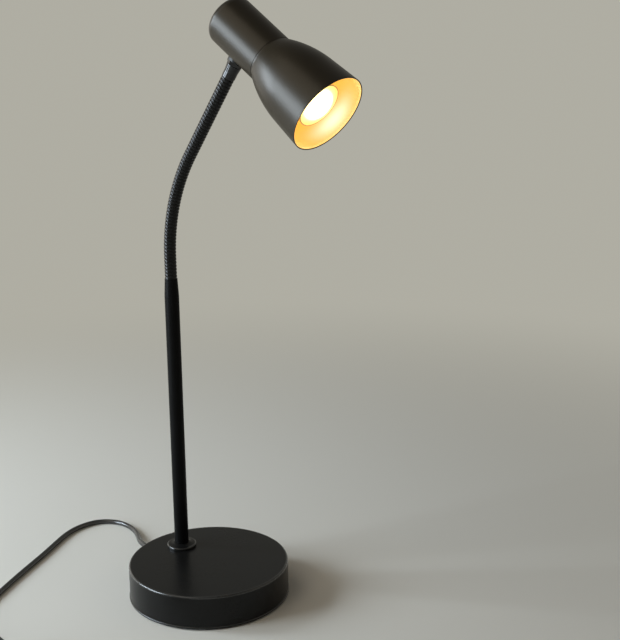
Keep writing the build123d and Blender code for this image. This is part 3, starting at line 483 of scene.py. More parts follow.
# Base: shell, plate with its lip at the table, collar
baseShape = {
    "radius": 75.0, "inner": 73.2, "top": 32.2, "ceiling": 30.0, "low": 3.1, "edgeRound": 1.6,
    "lowRound": 0.3, "ceilingRound": 0.6, "plateRadius": 75.6, "plateLow": 1.5, "plateRound": 0.6,
    "plateLowRound": 0.2, "segments": 256}
turnedPiece(
    "baseShell", baseShape, basePaint, Matrix(), False, ("base", "base_paint", "base_shell"), (0, "top"),
    ("radius", "top", "edgeRound"), ("radius", "low", "lowRound"), ("inner", "low"),
    ("inner", "ceiling", "ceilingRound"), (0, "ceiling"))
turnedPiece(
    "basePlate", baseShape, basePaint, Matrix(), False, ("base", "base_paint", "bottom_plate"), (0, "low"),
    ("plateRadius", "low", "plateRound"), ("plateRadius", "plateLow", "plateLowRound"), (0, "plateLow"))

collarShape = {
    "bore": 4.85, "foot": 14.0, "low": 32.2, "edgeLow": 34.0, "brow": 13.0, "edge": 35.0, "lip": 7.5,
    "top": 36.2, "seat": 6.75, "seatLow": 34.2, "edgeSteps": 8, "coveSteps": 10, "segments": 96}
collarBrow = (collarShape["brow"], collarShape["edge"])
collarFoot = (collarShape["foot"], collarShape["edgeLow"])
collarLip = (collarShape["lip"], collarShape["top"])
collarEdge = arcPoints(collarFoot, (0, 1), collarBrow, collarShape["edgeSteps"])
collarCove = arcPoints(collarBrow, (-1, 0), collarLip, collarShape["coveSteps"])
collarOutline = cornersOf(collarShape, ("bore", "low"), ("foot", "low"))
collarOutline += marked(collarEdge, 1.0) + marked(collarCove[1:])
collarOutline += cornersOf(collarShape, ("seat", "top"), ("seat", "seatLow"), ("bore", "seatLow"))
lampPiece(
    lathe("stemCollar", collarOutline, basePaint, stemPlace, collarShape["segments"], closed=True), "base",
    "base_paint", "stem_collar")

# Stem: tube and the taper that takes the neck
stemShape = {
    "radius": 6.7, "bore": 5.6, "low": 34.2, "top": 280.6, "lowRound": 0.2, "spigot": 5.55,
    "spigotLow": 266.6, "spigotRound": 0.3, "neckBore": 2.1, "seamRound": 0.05, "shoulder": 6.58,
    "shoulderTop": 283.6, "shoulderRound": 6.0, "throat": 5.95, "throatTop": 295.4, "throatRound": 4.0,
    "tip": 5.9, "tipTop": 297.6, "tipRound": 0.25, "segments": 72}
turnedPiece(
    "stemTube", stemShape, stemPaint, stemPlace, True, ("base", "base_paint", "stem_tube"), ("bore", "low"),
    ("radius", "low", "lowRound"), ("radius", "top"), ("bore", "top"))
turnedPiece(
    "stemTaper", stemShape, stemPaint, stemPlace, True, ("base", "base_paint", "stem_taper"),
    ("neckBore", "spigotLow"), ("spigot", "spigotLow", "spigotRound"), ("spigot", "top"),
    ("radius", "top", "seamRound"), ("shoulder", "shoulderTop", "shoulderRound"),
    ("throat", "throatTop", "throatRound"), ("tip", "tipTop", "tipRound"), ("neckBore", "tipTop"))
print("base and stem made")


# Ribbed neck: one tree winds the ribs along any stretch of the neck's line
def neckTree():
    tree = bpy.data.node_groups.new("neckRibs", "GeometryNodeTree")
    tree.interface.new_socket("Line", in_out="INPUT", socket_type="NodeSocketGeometry")
    kinds = dict.fromkeys(("Start", "End", "Pitch", "Crest", "Groove", "Step"), "NodeSocketFloat")
    kinds.update({"Side": "NodeSocketVector", "Finish": "NodeSocketMaterial"})
    sockets = {name: tree.interface.new_socket(name, in_out="INPUT", socket_type=kind).identifier
               for name, kind in kinds.items()}
    tree.interface.new_socket("Ribs", in_out="OUTPUT", socket_type="NodeSocketGeometry")
    start = Flow(tree)
    inlet = tree.nodes.new("NodeGroupInput")
    given = {socket.name: Flow(tree, socket) for socket in inlet.outputs if socket.name}
    line = start.node("GeometryNodeTrimCurve", {"mode": "LENGTH"},
                      {"Curve": given["Line"], 4: given["Start"], 5: given["End"]})  # 4 and 5 are lengths
    line = start.node("GeometryNodeResampleCurve", {"mode": "LENGTH"},
                      {"Curve": line, "Length": given["Step"]})
    # Each point of the line keeps its distance, place and direction for the wall round it
    length = start.node("GeometryNodeSplineParameter", out="Length")
    position = start.node("GeometryNodeInputPosition")
    stored = {}
    for name, kind, value in (
        ("along", "FLOAT", length + given["Start"]), ("centre", "FLOAT_VECTOR", position),
        ("tangent", "FLOAT_VECTOR", start.node("GeometryNodeInputTangent"))):
        line = start.node(
            "GeometryNodeStoreNamedAttribute", {"data_type": kind, "domain": "POINT"},
            {"Geometry": line, "Name": name, "Value": value})
        stored[name] = start.node("GeometryNodeInputNamedAttribute", {"data_type": kind}, {"Name": name})
    circle = start.node(
        "GeometryNodeCurvePrimitiveCircle",
        values={"Resolution": neckShape["around"], "Radius": given["Groove"]})
    wall = start.node(
        "GeometryNodeCurveToMesh", values={"Curve": line, "Profile Curve": circle, "Fill Caps": True})
    # The rib's height at a spot follows from its distance along the line and its angle round it
    outward = start.vector("NORMALIZE", start.vector("SUBTRACT", position, stored["centre"]))
    across = start.vector("CROSS_PRODUCT", stored["tangent"], given["Side"])
    aside = start.vector("DOT_PRODUCT", outward, given["Side"], "Value")
    ahead = start.vector("DOT_PRODUCT", outward, across, "Value")
    around = start.math("ARCTAN2", ahead, aside) / fullTurn
    share = start.math("FRACT", stored["along"] / given["Pitch"] + around) * 2 - 1
    rib = start.math("SQRT", 1 - share * share)
    radius = given["Groove"] + (given["Crest"] - given["Groove"]) * rib
    lifted = start.node("ShaderNodeVectorMath", {"operation": "SCALE"}, {0: outward, "Scale": radius})
    ribbed = start.node(
        "GeometryNodeSetPosition",
        values={"Geometry": wall, "Position": start.vector("ADD", stored["centre"], lifted)})
    smooth = start.node("GeometryNodeSetShadeSmooth", values={"Geometry": ribbed})
    real = start.node("GeometryNodeRealizeInstances", values={"Geometry": smooth})
    done = start.node("GeometryNodeSetMaterial", values={"Geometry": real, "Material": given["Finish"]})
    done.into(tree.nodes.new("NodeGroupOutput"), "Ribs")
    return tree, sockets


ribTree, ribSockets = neckTree()
neckLine = bpy.data.curves.new("neckLine", "CURVE")
neckLine.dimensions = "3D"
lineSpline = neckLine.splines.new("POLY")
lineSpline.points.add(neckShape["lineSteps"])
for number, point in enumerate(lineSpline.points):
    point.co = (*neckPoint(ribbedLength * number / neckShape["lineSteps"]), 1.0)


# The line and its modifier become a plain mesh
def grown(name, curve, tree, values):
    maker = bpy.data.objects.new(name + "Line", curve)
    scene.collection.objects.link(maker)
    modifier = maker.modifiers.new("grow", "NODES")
    modifier.node_group = tree
    for key, value in values.items():
        modifier[key] = value
    view = bpy.context.evaluated_depsgraph_get()
    view.update()
    mesh = bpy.data.meshes.new_from_object(maker.evaluated_get(view), depsgraph=view)
    mesh.name = name
    bpy.data.objects.remove(maker)
    for attribute in ("along", "centre", "tangent"):
        if attribute in mesh.attributes:
            mesh.attributes.remove(mesh.attributes[attribute])
    piece = bpy.data.objects.new(name, mesh)
    scene.collection.objects.link(piece)
    return piece


linkLength = ribbedLength / neckShape["links"]
for number in range(1, neckShape["links"]):
    last = number == neckShape["links"] - 1
    low = 0.0 if number == 1 else (number - 0.5) * linkLength
    high = ribbedLength if last else (number + 0.5) * linkLength
    sizes = {
        "Start": low * mm, "End": high * mm, "Pitch": neckShape["pitch"] * mm,
        "Crest": neckShape["crest"] * mm, "Groove": neckShape["groove"] * mm,
        "Step": neckShape["pitch"] * mm / neckShape["stepsPerPitch"], "Side": tuple(sideways),
        "Finish": ribGloss}
    ribs = grown(
        "neckRibs_%d" % number, neckLine, ribTree, {ribSockets[key]: value for key, value in sizes.items()})
    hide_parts("neck_link_%d" % number)
    if number == 1:
        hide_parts("neck_lead")
    if last:
        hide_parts("neck_link_%d" % neckShape["links"])
    neckPoint((number - 0.5) * linkLength)
    neckPoint((number + 0.5) * linkLength)
    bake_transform(ribs)
print("neck made:", neckShape["links"] - 1, "stretches")

# Joint at the head: ferrule and lock nut
ferruleShape = {
    "low": 5.9, "high": 6.6, "flare": 5.85, "flareRound": 8.0, "edgeRound": 0.5, "length": 13.0,
    "bore": 4.55, "socket": 5.0, "neckBore": 2.1, "segments": 72}
nutShape = {
    "across": 13.0, "low": 13.0, "high": 16.4, "bore": 4.55, "face": 0.985, "slope": 30.0, "segments": 96,
    "sharp": 25.0}
turnedPiece(
    "neckFerrule", ferruleShape, ferruleGloss, neckTopPlace, True, ("head", "neck_finish", "neck_ferrule"),
    ("neckBore", 0), ("low", 0, "edgeRound"), ("low", "flare", "flareRound"),
    ("high", "length", "edgeRound"), ("bore", "length"), ("bore", "socket"), ("neckBore", "socket"))


# Six flats, with the corners cut down to a round face at both ends
def hexNut(name, shape, finish, place):
    bm = bmesh.new()
    flat = shape["across"] / 2
    face = flat * shape["face"]
    low, high, bore = shape["low"], shape["high"], shape["bore"]
    columns = []
    for k in range(shape["segments"]):
        angle = fullTurn * k / shape["segments"]
        across = flat / math.cos((angle % (math.pi / 3)) - math.pi / 6)
        fall = (across - face) * math.tan(math.radians(shape["slope"]))
        spots = [(bore, low), (face, low), (across, low + fall)]
        spots += [(across, high - fall), (face, high), (bore, high)]
        columns.append([bm.verts.new(onRing(radius, angle, height)) for radius, height in spots])
    bridge(bm, [list(ring) for ring in zip(*columns)], closed=True)
    return newPiece(name, bm, finish, place, shape["sharp"])


lampPiece(hexNut("lockNut", nutShape, ferruleGloss, neckTopPlace), "head", "neck_finish", "lock_nut")

# Head: cup behind the crease, bell shade and its pale lining
cupShape = {
    "radius": 21.6, "rear": -59.2, "rearRound": 6.5, "creaseLow": -0.2, "creaseRound": 0.5, "lip": 21.4,
    "lipRound": 0.15, "inner": 20.4, "innerRear": -58.0, "innerRound": 5.3, "steps": 12, "segments": 160}
turnedPiece(
    "socketCup", cupShape, headPaint, headPlace, False, ("head", "shade_paint", "socket_cup"), (0, "rear"),
    ("radius", "rear", "rearRound"), ("radius", "creaseLow", "creaseRound"), ("lip", 0, "lipRound"),
    ("inner", 0), ("inner", "innerRear", "innerRound"), (0, "innerRear"))

bellShape = {
    "root": 20.9, "rootFoot": 21.2, "rootLip": 21.38, "rootRise": 0.15, "mouth": 35.2, "length": 71.6,
    "shoulderLength": 0.58, "shoulderRise": 0.84, "skin": 0.86, "wall": 1.2, "hole": 14.05,
    "liningTop": 0.88, "liningCut": 0.55, "shoulderSteps": 40, "flareSteps": 12, "rimSteps": 8,
    "segments": 192}
bellBend = Vector((
    bellShape["root"] + (bellShape["mouth"] - bellShape["root"]) * bellShape["shoulderRise"],
    bellShape["length"] * bellShape["shoulderLength"]))
bellMouth = Vector((bellShape["mouth"], bellShape["length"]))
flare = (bellMouth - bellBend).normalized()


# The bell's line at a depth inside its outer face, from the root to the mouth
def bellLine(depth, cut=0.0):
    inward = Vector((-flare.y, flare.x)) * depth
    bend = bellBend + inward
    mouth = bellMouth + inward - flare * cut
    root = (bellShape["root"] - depth, depth)
    arc = arcPoints(tuple(bend), tuple(-flare), root, bellShape["shoulderSteps"])
    steps = bellShape["flareSteps"]
    return arc[::-1] + [tuple(bend.lerp(mouth, k / steps)) for k in range(1, steps + 1)]


outerLine = bellLine(0.0)
innerLine = bellLine(bellShape["skin"])
rimDrop = flare * (bellShape["skin"] / 2)
rimArc = arcPoints(outerLine[-1], tuple(flare), innerLine[-1], bellShape["rimSteps"])
bellOutline = cornersOf(bellShape, ("hole", 0), ("rootFoot", 0), ("rootLip", "rootRise", 1.0))
bellOutline += marked(outerLine[1:-1]) + marked([tuple(Vector(spot) - rimDrop) for spot in rimArc], 1.0)
bellOutline += marked(innerLine[-2::-1]) + cornersOf(bellShape, ("hole", "skin"))
lampPiece(
    lathe("shadeBell", bellOutline, headPaint, headPlace, bellShape["segments"], closed=True), "head",
    "shade_paint", "shade_bell")
liningOutline = cornersOf(bellShape, ("hole", "liningTop"))
liningOutline += marked(bellLine(bellShape["liningTop"], bellShape["liningCut"]))
liningOutline += marked(bellLine(bellShape["wall"], bellShape["liningCut"])[::-1])
liningOutline += cornersOf(bellShape, ("hole", "wall"))
lining = lathe("shadeLining", liningOutline, liningPaint, headPlace, bellShape["segments"], closed=True)
# Where the painted highlight patch sits: its angle round the shade, its width, its place along the shade and
# its length
paintedHighlightSpot = {"turn": -27.0, "spread": 33.0, "along": 0.85, "reach": 0.095}


def forwardShare(spot):
    return spot.z / bellShape["length"]


# The painted highlight patch fades round the shade and along it
def paintedHighlightShare(spot):
    aside = (math.degrees(math.atan2(spot.y, spot.x)) - paintedHighlightSpot["turn"]) / paintedHighlightSpot["spread"]
    beyond = (forwardShare(spot) - paintedHighlightSpot["along"]) / paintedHighlightSpot["reach"]
    return math.exp(-aside ** 2 - beyond ** 2)


markPiece(lining, "forward", forwardShare)
# The painted highlight patch is carried as a mark on the lining's points
markPiece(lining, "hot", paintedHighlightShare)
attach(lining, "head")
print("head made")

# Reflector bulb: threaded cap, lit bowl, frosted front
bulbShape = {
    "capLow": -3.0, "capTop": 16.0, "capRadius": 6.9, "capTip": 5.5, "thread": 0.55, "threads": 6,
    "threadFrom": -1.8, "threadReach": 14.0, "threadSteps": 10, "neck": 8.5, "neckShare": 0.1, "rim": 19.5,
    "rimHeight": 5.0, "front": 66.0, "dome": 6.0, "glass": 0.8, "seam": 0.45, "seamLean": 0.4,
    "seamSteps": 8, "domeInset": 0.15, "domeGap": 0.05, "domeThin": 0.4, "bowlSteps": 20, "domeSteps": 24,
    "glowShift": (-5.5, 2.8), "rimShare": 0.955, "capSegments": 48, "segments": 96}
capOutline = cornersOf(bulbShape, (0, "capLow"), ("capTip", "capLow"))
threadSteps = bulbShape["threads"] * bulbShape["threadSteps"]
for k in range(threadSteps + 1):
    groove = bulbShape["thread"] * wave(k / bulbShape["threadSteps"])
    height = bulbShape["threadFrom"] + bulbShape["threadReach"] * k / threadSteps
    capOutline.append((bulbShape["capRadius"] - groove, height, 0.0))
capOutline += cornersOf(bulbShape, ("capRadius", "capTop"), (0, "capTop"))
lampPiece(
    lathe("bulbCap", capOutline, nickel, headPlace, bulbShape["capSegments"]), "head", "bulb_cap_metal",
    "bulb_cap")

capTop, rim, neck, glass = [bulbShape[key] for key in ("capTop", "rim", "neck", "glass")]
bowlTop = bulbShape["front"] - bulbShape["dome"]
bowlLow = capTop + (bowlTop - capTop) * bulbShape["neckShare"]
bowlHigh = bowlTop - bulbShape["rimHeight"]
bowlLine = arcPoints((rim, bowlHigh), (0, -1), (neck, bowlLow), bulbShape["bowlSteps"])[::-1]
seamArc = arcPoints(
    (rim, bowlTop - bulbShape["seam"]), (1, bulbShape["seamLean"]),
    (rim - glass, bowlTop + bulbShape["seam"]), bulbShape["seamSteps"])
bowlOutline = [(0, capTop, 0), (neck, capTop, 0)] + marked(bowlLine) + marked(seamArc)
bowlOutline += [(rim - glass, bowlTop, 0)] + [(x - glass, z, 0.0) for x, z in bowlLine[::-1]]
bowlOutline += [(neck - glass, capTop + glass, 0), (0, capTop + glass, 0)]


# How far out from the middle of the glow a spot lies, for the bulb's colours; the rim keeps its own place
def outShare(spot, shift=(0.0, 0.0)):
    out = math.hypot(spot.x, spot.y) / rim
    if out >= bulbShape["rimShare"]:
        return out
    return min(math.hypot(spot.x - shift[0], spot.y - shift[1]) / rim, bulbShape["rimShare"])


bowl = lathe("bulbBowl", bowlOutline, litBowl, headPlace, bulbShape["segments"])
lampPiece(markPiece(bowl, "outward", outShare), "head", "bulb_mirror", "bulb_reflector")

domeEdge = (rim - bulbShape["domeInset"], bowlTop + bulbShape["domeGap"])
domeLine = arcPoints((0, bulbShape["front"]), (1, 0), domeEdge, bulbShape["domeSteps"])
domeOutline = marked(domeLine)
for x, z in domeLine[-2:0:-1]:
    domeOutline.append((max(x - glass, 0), z - glass * min(x / rim + bulbShape["domeThin"], 1.0), 0.0))
domeOutline.append((0, bulbShape["front"] - glass, 0))
lens = lathe("bulbLens", domeOutline, litLens, headPlace, bulbShape["segments"])
markPiece(lens, "outward", lambda spot: outShare(spot, bulbShape["glowShift"]))
lampPiece(lens, "head", "bulb_front", "bulb_lens")
print("bulb made")

# Strain relief behind the base, with flexing grooves
reliefShape = {
    "height": 9.6, "bore": 2.55, "flange": 6.0, "innerLow": 69.86, "innerHigh": 72.46, "groove": 4.5,
    "wallOut": 75.05, "flangeTop": 77.05, "flangeRound": 0.3, "brimRound": 0.6, "root": 4.8,
    "tipRadius": 3.4, "tip": 101.0, "tipRound": 0.4, "rings": 5, "ringDepth": 0.7, "ringRound": 0.2,
    "ringLine": [(0.30, 0.0), (0.38, 1.0), (0.62, 1.0), (0.70, 0.0)], "endGap": 0.6, "steps": 4,
    "segments": 64}
reliefPlace = Matrix.Translation((0, 0, reliefShape["height"] * mm)) @ Matrix.Rotation(-math.pi / 2, 4, "X")
ringCorners = []
tailLength = reliefShape["tip"] - reliefShape["flangeTop"]
for ring in range(reliefShape["rings"]):
    for share, depth in reliefShape["ringLine"]:
        along = (ring + share) / (reliefShape["rings"] + reliefShape["endGap"])
        radius = reliefShape["root"] + (reliefShape["tipRadius"] - reliefShape["root"]) * along
        height = reliefShape["flangeTop"] + tailLength * along
        ringCorners.append((radius - reliefShape["ringDepth"] * depth, height, "ringRound"))
turnedPiece(
    "cordRelief", reliefShape, mouldedBlack, reliefPlace, True, ("base", "black_plastic", "cord_bushing"),
    ("bore", "innerLow"), ("flange", "innerLow", "flangeRound"), ("flange", "innerHigh", "flangeRound"),
    ("groove", "innerHigh"), ("groove", "wallOut"), ("flange", "wallOut", "flangeRound"),
    ("flange", "flangeTop", "brimRound"), ("root", "flangeTop", "flangeRound"), *ringCorners,
    ("tipRadius", "tip", "tipRound"), ("bore", "tip"))

# Cord: one smooth line from the relief over the table, through the switch, round the coil and to the plug
cordShape = {
    "radius": 2.5, "length": 1.86,
    "way": [(0, 101, 9.6), (0, 113, 9.6), (5.5, 127, 7.0), (14, 141.5, 3.8), (21, 158, 2.6), (23.5, 176, 2.5),
            (19, 194, 2.5), (5, 207.5, 2.5), (-14, 209.5, 2.5), (-34, 204, 2.5), (-55, 191, 2.5),
            (-80, 174.5, 2.5), (-107, 158.5, 2.5), (-134.5, 141.5, 2.5), (-163, 122.5, 2.5),
            (-186, 106.5, 2.6), (-203, 85, 4.6), (-210.5, 63, 8.0), (-210.5, 46, 8.0),
            (-210.5, -16, 8.0), (-210.5, -26, 8.0), (-210.5, -39, 3.6), (-210.5, -49, 3.6)],
    "tail": [(-210.5, -59, 9.1), (-210.5, -69, 9.1), (-210.5, -78, 7.0), (-210.5, -88, 7.0)],
    "coilCentre": (-170.75, -54.0), "coilTurns": 7, "coilLeast": 20.5, "coilPitch": 5.5, "coilLow": 3.6,
    "climbTurns": 0.5, "pointsPerTurn": 16, "roundSteps": 6, "smoothSteps": 6, "smoothOrder": 3}
cordPoints = list(cordShape["way"])
coilX, coilY = cordShape["coilCentre"]
coilMiddle = cordShape["coilTurns"] / 2
for step in range(cordShape["coilTurns"] * cordShape["pointsPerTurn"] + 1):
    turn = step / cordShape["pointsPerTurn"]
    reach = cordShape["coilLeast"] + cordShape["coilPitch"] * abs(turn - coilMiddle)
    climb = min(max((turn - coilMiddle) / cordShape["climbTurns"] + 0.5, 0), 1)
    angle = math.pi + fullTurn * turn
    cordPoints.append((
        coilX + reach * math.cos(angle), coilY + reach * math.sin(angle),
        cordShape["coilLow"] + cordShape["coilPitch"] * climb))
cordPoints += cordShape["tail"]
cordLine = bpy.data.curves.new("cord", "CURVE")
cordLine.dimensions = "3D"
cordLine.bevel_depth = cordShape["radius"] * mm
cordLine.bevel_resolution = cordShape["roundSteps"]
cordLine.use_fill_caps = True
cordSpline = cordLine.splines.new("NURBS")
cordSpline.points.add(len(cordPoints) - 1)
for point, spot in zip(cordSpline.points, cordPoints):
    point.co = (*(Vector(spot) * mm), 1.0)
cordSpline.order_u = cordShape["smoothOrder"]
cordSpline.use_endpoint_u = True
cordSpline.resolution_u = cordShape["smoothSteps"]
cordLine.materials.append(cordSheath)
cord = bpy.data.objects.new("cord", cordLine)
scene.collection.objects.link(cord)
lampPiece(cord, "base", "cord_sheath", "cord_run", "cord_link", "cord_coil", "cord_tail")
print("cord made:", len(cordPoints), "points")

# Plug: a grip lofted along the cord's end, with ridges, and two sleeved pins
# A station is (along, half width, half thickness, squareness)
plugShape = {
    "back": (-210.5, -88.0, 7.0), "ridges": 6, "ridgeDepth": 0.35, "ridgeFrom": 27.0, "ridgeTo": 42.0,
    "stations": [
        (0.0, 4.2, 4.2, 2.0), (0.6, 4.45, 4.45, 2.0), (12.0, 4.6, 4.6, 2.0), (14.0, 5.2, 4.8, 2.2),
        (16.5, 7.6, 5.5, 2.8), (20.0, 10.6, 6.4, 3.4), (24.0, 12.6, 6.9, 4.0), (26.5, 13.0, 7.0, 4.4),
        (43.0, 10.9, 7.0, 4.8), (48.6, 10.1, 6.95, 5.0), (49.6, 9.7, 6.6, 5.0), (50.0, 9.0, 6.0, 5.0)],
    "step": 0.5, "around": 64}
pinShape = {
    "apart": 15.2, "radius": 2.0, "seat": -4.0, "tip": 19.0, "tipRound": 1.8, "shank": 1.5, "shankTop": 10.0,
    "edgeRound": 0.1, "sleeve": 1.88, "sleeveBore": 1.52, "sleeveFoot": -3.5, "sleeveTop": 9.95,
    "segments": 32}
plugLength = plugShape["stations"][-1][0]


def plugSize(along):
    for low, high in zip(plugShape["stations"], plugShape["stations"][1:]):
        if along <= high[0]:
            share = (along - low[0]) / (high[0] - low[0])
            return [a + (b - a) * share for a, b in zip(low[1:], high[1:])]
    return plugShape["stations"][-1][1:]


def plugGrip():
    bm = bmesh.new()
    steps = {plugShape["step"] * k for k in range(round(plugLength / plugShape["step"]) + 1)}
    rings = []
    for along in sorted(steps.union(row[0] for row in plugShape["stations"])):
        wide, thick, square = plugSize(along)
        span = (along - plugShape["ridgeFrom"]) / (plugShape["ridgeTo"] - plugShape["ridgeFrom"])
        dip = plugShape["ridgeDepth"] * wave(plugShape["ridges"] * span) if 0 < span < 1 else 0.0
        ring = []
        for k in range(plugShape["around"]):
            angle = fullTurn * k / plugShape["around"]
            c, s = math.cos(angle), math.sin(angle)
            x = (wide - dip * abs(c)) * math.copysign(abs(c) ** (2 / square), c)
            z = thick * math.copysign(abs(s) ** (2 / square), s)
            ring.append(bm.verts.new((x * mm, -along * mm, z * mm)))
        rings.append(ring)
    bridge(bm, rings, capped=True)
    return newPiece("plugGrip", bm, mouldedBlack, Matrix.Translation(Vector(plugShape["back"]) * mm))


plug = lampPiece(plugGrip(), "base", "black_plastic", "plug_body")
sleeveCorners = cornersOf(
    pinShape, ("sleeveBore", "sleeveFoot"), ("sleeve", "sleeveFoot"), ("sleeve", "sleeveTop", "edgeRound"),
    ("sleeveBore", "sleeveTop"))
plugParts = []
for number, side in ((1, -1), (2, 1)):
    spot = Vector(plugShape["back"]) + Vector((side * pinShape["apart"] / 2, -plugLength, 0))
    place = Matrix.Translation(spot * mm) @ Matrix.Rotation(math.pi / 2, 4, "X")
    pin = turnedPiece(
        "plugPin_%d" % number, pinShape, nickel, place, False, ("base", "plated_steel", "plug_pins"),
        (0, "seat"), ("shank", "seat"), ("shank", "shankTop"), ("radius", "shankTop", "edgeRound"),
        ("radius", "tip", "tipRound"), (0, "tip"))
    sleeve = lathe(
        "plugSleeve_%d" % number, softOutline(sleeveCorners, True), mouldedBlack, place,
        pinShape["segments"], closed=True)
    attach(sleeve, "base")
    plugParts += [pin, sleeve]

# Tie round the coil: a woven band whose end laps over its start on top
tieShape = {
    "inner": 17.17, "outer": 39.7, "low": 0.9, "high": 11.8, "round": 3.0, "thick": 0.9, "width": 10.0,
    "bevel": 0.15, "lapFrom": 21.0, "lapTo": 35.5, "lapThick": 0.8, "lapSink": 0.02, "lapSteps": 10}


def tieLoop():
    bm = bmesh.new()
    corners = cornersOf(
        tieShape, ("outer", "low", "round"), ("outer", "high", "round"), ("inner", "high", "round"),
        ("inner", "low", "round"))
    inner = [Vector(spot[:2]) for spot in softOutline(corners, True)]
    outer = []
    for k, spot in enumerate(inner):
        ahead = inner[(k + 1) % len(inner)] - inner[k - 1]
        outer.append(spot + Vector((ahead.y, -ahead.x)).normalized() * tieShape["thick"])
    half, bevel = tieShape["width"] / 2, tieShape["bevel"]
    rows = [[bm.verts.new((spot.x * mm, y * mm, spot.y * mm)) for spot in line] for line, y in
            ((inner, -half), (outer, bevel - half), (outer, half - bevel), (inner, half))]
    bridge(bm, rows, closed=True)
    # The lap: a flat tongue with a round end
    middle = tieShape["lapTo"] - half
    angles = [math.pi * k / tieShape["lapSteps"] - math.pi / 2 for k in range(tieShape["lapSteps"] + 1)]
    tongue = [(tieShape["lapFrom"], -half)]
    tongue += [(middle + half * math.cos(angle), half * math.sin(angle)) for angle in angles]
    tongue += [(tieShape["lapFrom"], half)]
    top = tieShape["high"] + tieShape["thick"]
    lap = [[bm.verts.new((x * mm, y * mm, z * mm)) for x, y in tongue] for z in (
        top - tieShape["lapSink"], top + tieShape["lapThick"])]
    bridge(bm, lap, capped=True)
    return newPiece("cordTie", bm, tieBand, Matrix.Translation((coilX * mm, coilY * mm, 0)))


tie = lampPiece(tieLoop(), "base", "tie_band", "cord_tie")

# Switch on the cord: two half shells with ribbed sides and a seam between them
switchShape = {
    "middle": (-210.5, 15.0), "length": 62.0, "width": 24.0, "round": 4.0, "split": 8.0, "high": 17.0,
    "seam": 0.3, "seamGap": 0.02, "lowEdge": 1.2, "topEdge": 2.4, "edgeSteps": 6, "windowWidth": 12.8,
    "windowLength": 22.8, "windowRound": 1.0, "windowEdge": 0.5, "windowBend": 0.15, "lidWall": 1.0,
    "ribs": 8, "ribDepth": 0.4, "ribReach": 14.0, "ribFromSeam": 0.6, "ribFromEdge": 0.8, "cornerSteps": 10,
    "around": 400}


# Rounded rectangle as evenly spaced points
def evenLoop(wide, long, size):
    x, y = wide / 2, long / 2
    corners = [(x, -y, size), (x, y, size), (-x, y, size), (-x, -y, size)]
    line = [Vector(spot[:2]) for spot in softOutline(corners, True, switchShape["cornerSteps"])]
    spans = [max((b - a).length, tiny) for a, b in zip(line, line[1:] + line[:1])]
    step = sum(spans) / switchShape["around"]
    loop, passed, k = [], 0.0, 0
    for number in range(switchShape["around"]):
        while passed + spans[k] < number * step:
            passed += spans[k]
            k += 1
        loop.append(line[k].lerp(line[(k + 1) % len(line)], (number * step - passed) / spans[k]))
    return loop


def shellLoop(inset, ribbed=False):
    loop = evenLoop(
        switchShape["width"] - 2 * inset, switchShape["length"] - 2 * inset, switchShape["round"] - inset)
    for spot in loop:
        if ribbed and abs(spot.y) < switchShape["ribReach"]:
            turns = switchShape["ribs"] * (spot.y / switchShape["ribReach"] + 1) / 2
            spot.x -= math.copysign(switchShape["ribDepth"] * wave(turns), spot.x)
    return loop


def windowLoop(grow):
    return evenLoop(
        switchShape["windowWidth"] + 2 * grow, switchShape["windowLength"] + 2 * grow,
        switchShape["windowRound"] + grow)


def switchShell(name, levels, closed, stoodFor):
    bm = bmesh.new()
    rings = [
        [bm.verts.new((spot.x * mm, spot.y * mm, height * mm)) for spot in loop] for loop, height in levels]
    bridge(bm, rings, closed, capped=not closed)
    place = Matrix.Translation((switchShape["middle"][0] * mm, switchShape["middle"][1] * mm, 0))
    return lampPiece(newPiece(name, bm, mouldedBlack, place), "base", "black_plastic", stoodFor)


quarter = [math.pi / 2 * k / switchShape["edgeSteps"] for k in range(switchShape["edgeSteps"] + 1)]
split, high, seam = [switchShape[key] for key in ("split", "high", "seam")]
lowEdge, topEdge = switchShape["lowEdge"], switchShape["topEdge"]
windowEdge, windowBend = switchShape["windowEdge"], switchShape["windowBend"]
ribFromSeam, ribFromEdge = switchShape["ribFromSeam"], switchShape["ribFromEdge"]
trayLevels = [(shellLoop(lowEdge * (1 - math.sin(a))), lowEdge * (1 - math.cos(a))) for a in quarter]
trayLevels += [
    (shellLoop(0, True), lowEdge + ribFromEdge), (shellLoop(0, True), split - seam - ribFromSeam),
    (shellLoop(0), split - seam), (shellLoop(seam), split - switchShape["seamGap"])]
tray = switchShell("switchTray", trayLevels, False, "switch_base")
lidLevels = [
    (shellLoop(seam), split), (shellLoop(0), split + seam), (shellLoop(0, True), split + seam + ribFromSeam),
    (shellLoop(0, True), high - topEdge - ribFromEdge)]
lidLevels += [(shellLoop(topEdge * (1 - math.cos(a))), high - topEdge * (1 - math.sin(a))) for a in quarter]
lidLevels += [
    (windowLoop(windowEdge), high), (windowLoop(windowBend), high - windowBend),
    (windowLoop(0.0), high - windowEdge), (windowLoop(0.0), split + switchShape["lidWall"])]
lid = switchShell("switchLid", lidLevels, True, "switch_cover")

# Rocker: a shallow V with ridges, lying over on one side
rockerShape = {
    "pivot": (-210.5, 15.0, 13.0), "tilt": 9.0, "half": 10.5, "dip": 2.6, "top": 4.26, "low": -2.5,
    "side": 9.45, "belly": 4.7, "width": 11.0, "bevel": 0.5, "bevelDrop": 0.3, "ridges": 4, "ridgeFrom": 3.2,
    "ridgeTo": 9.2, "ridgeRise": 0.35, "steps": 120}


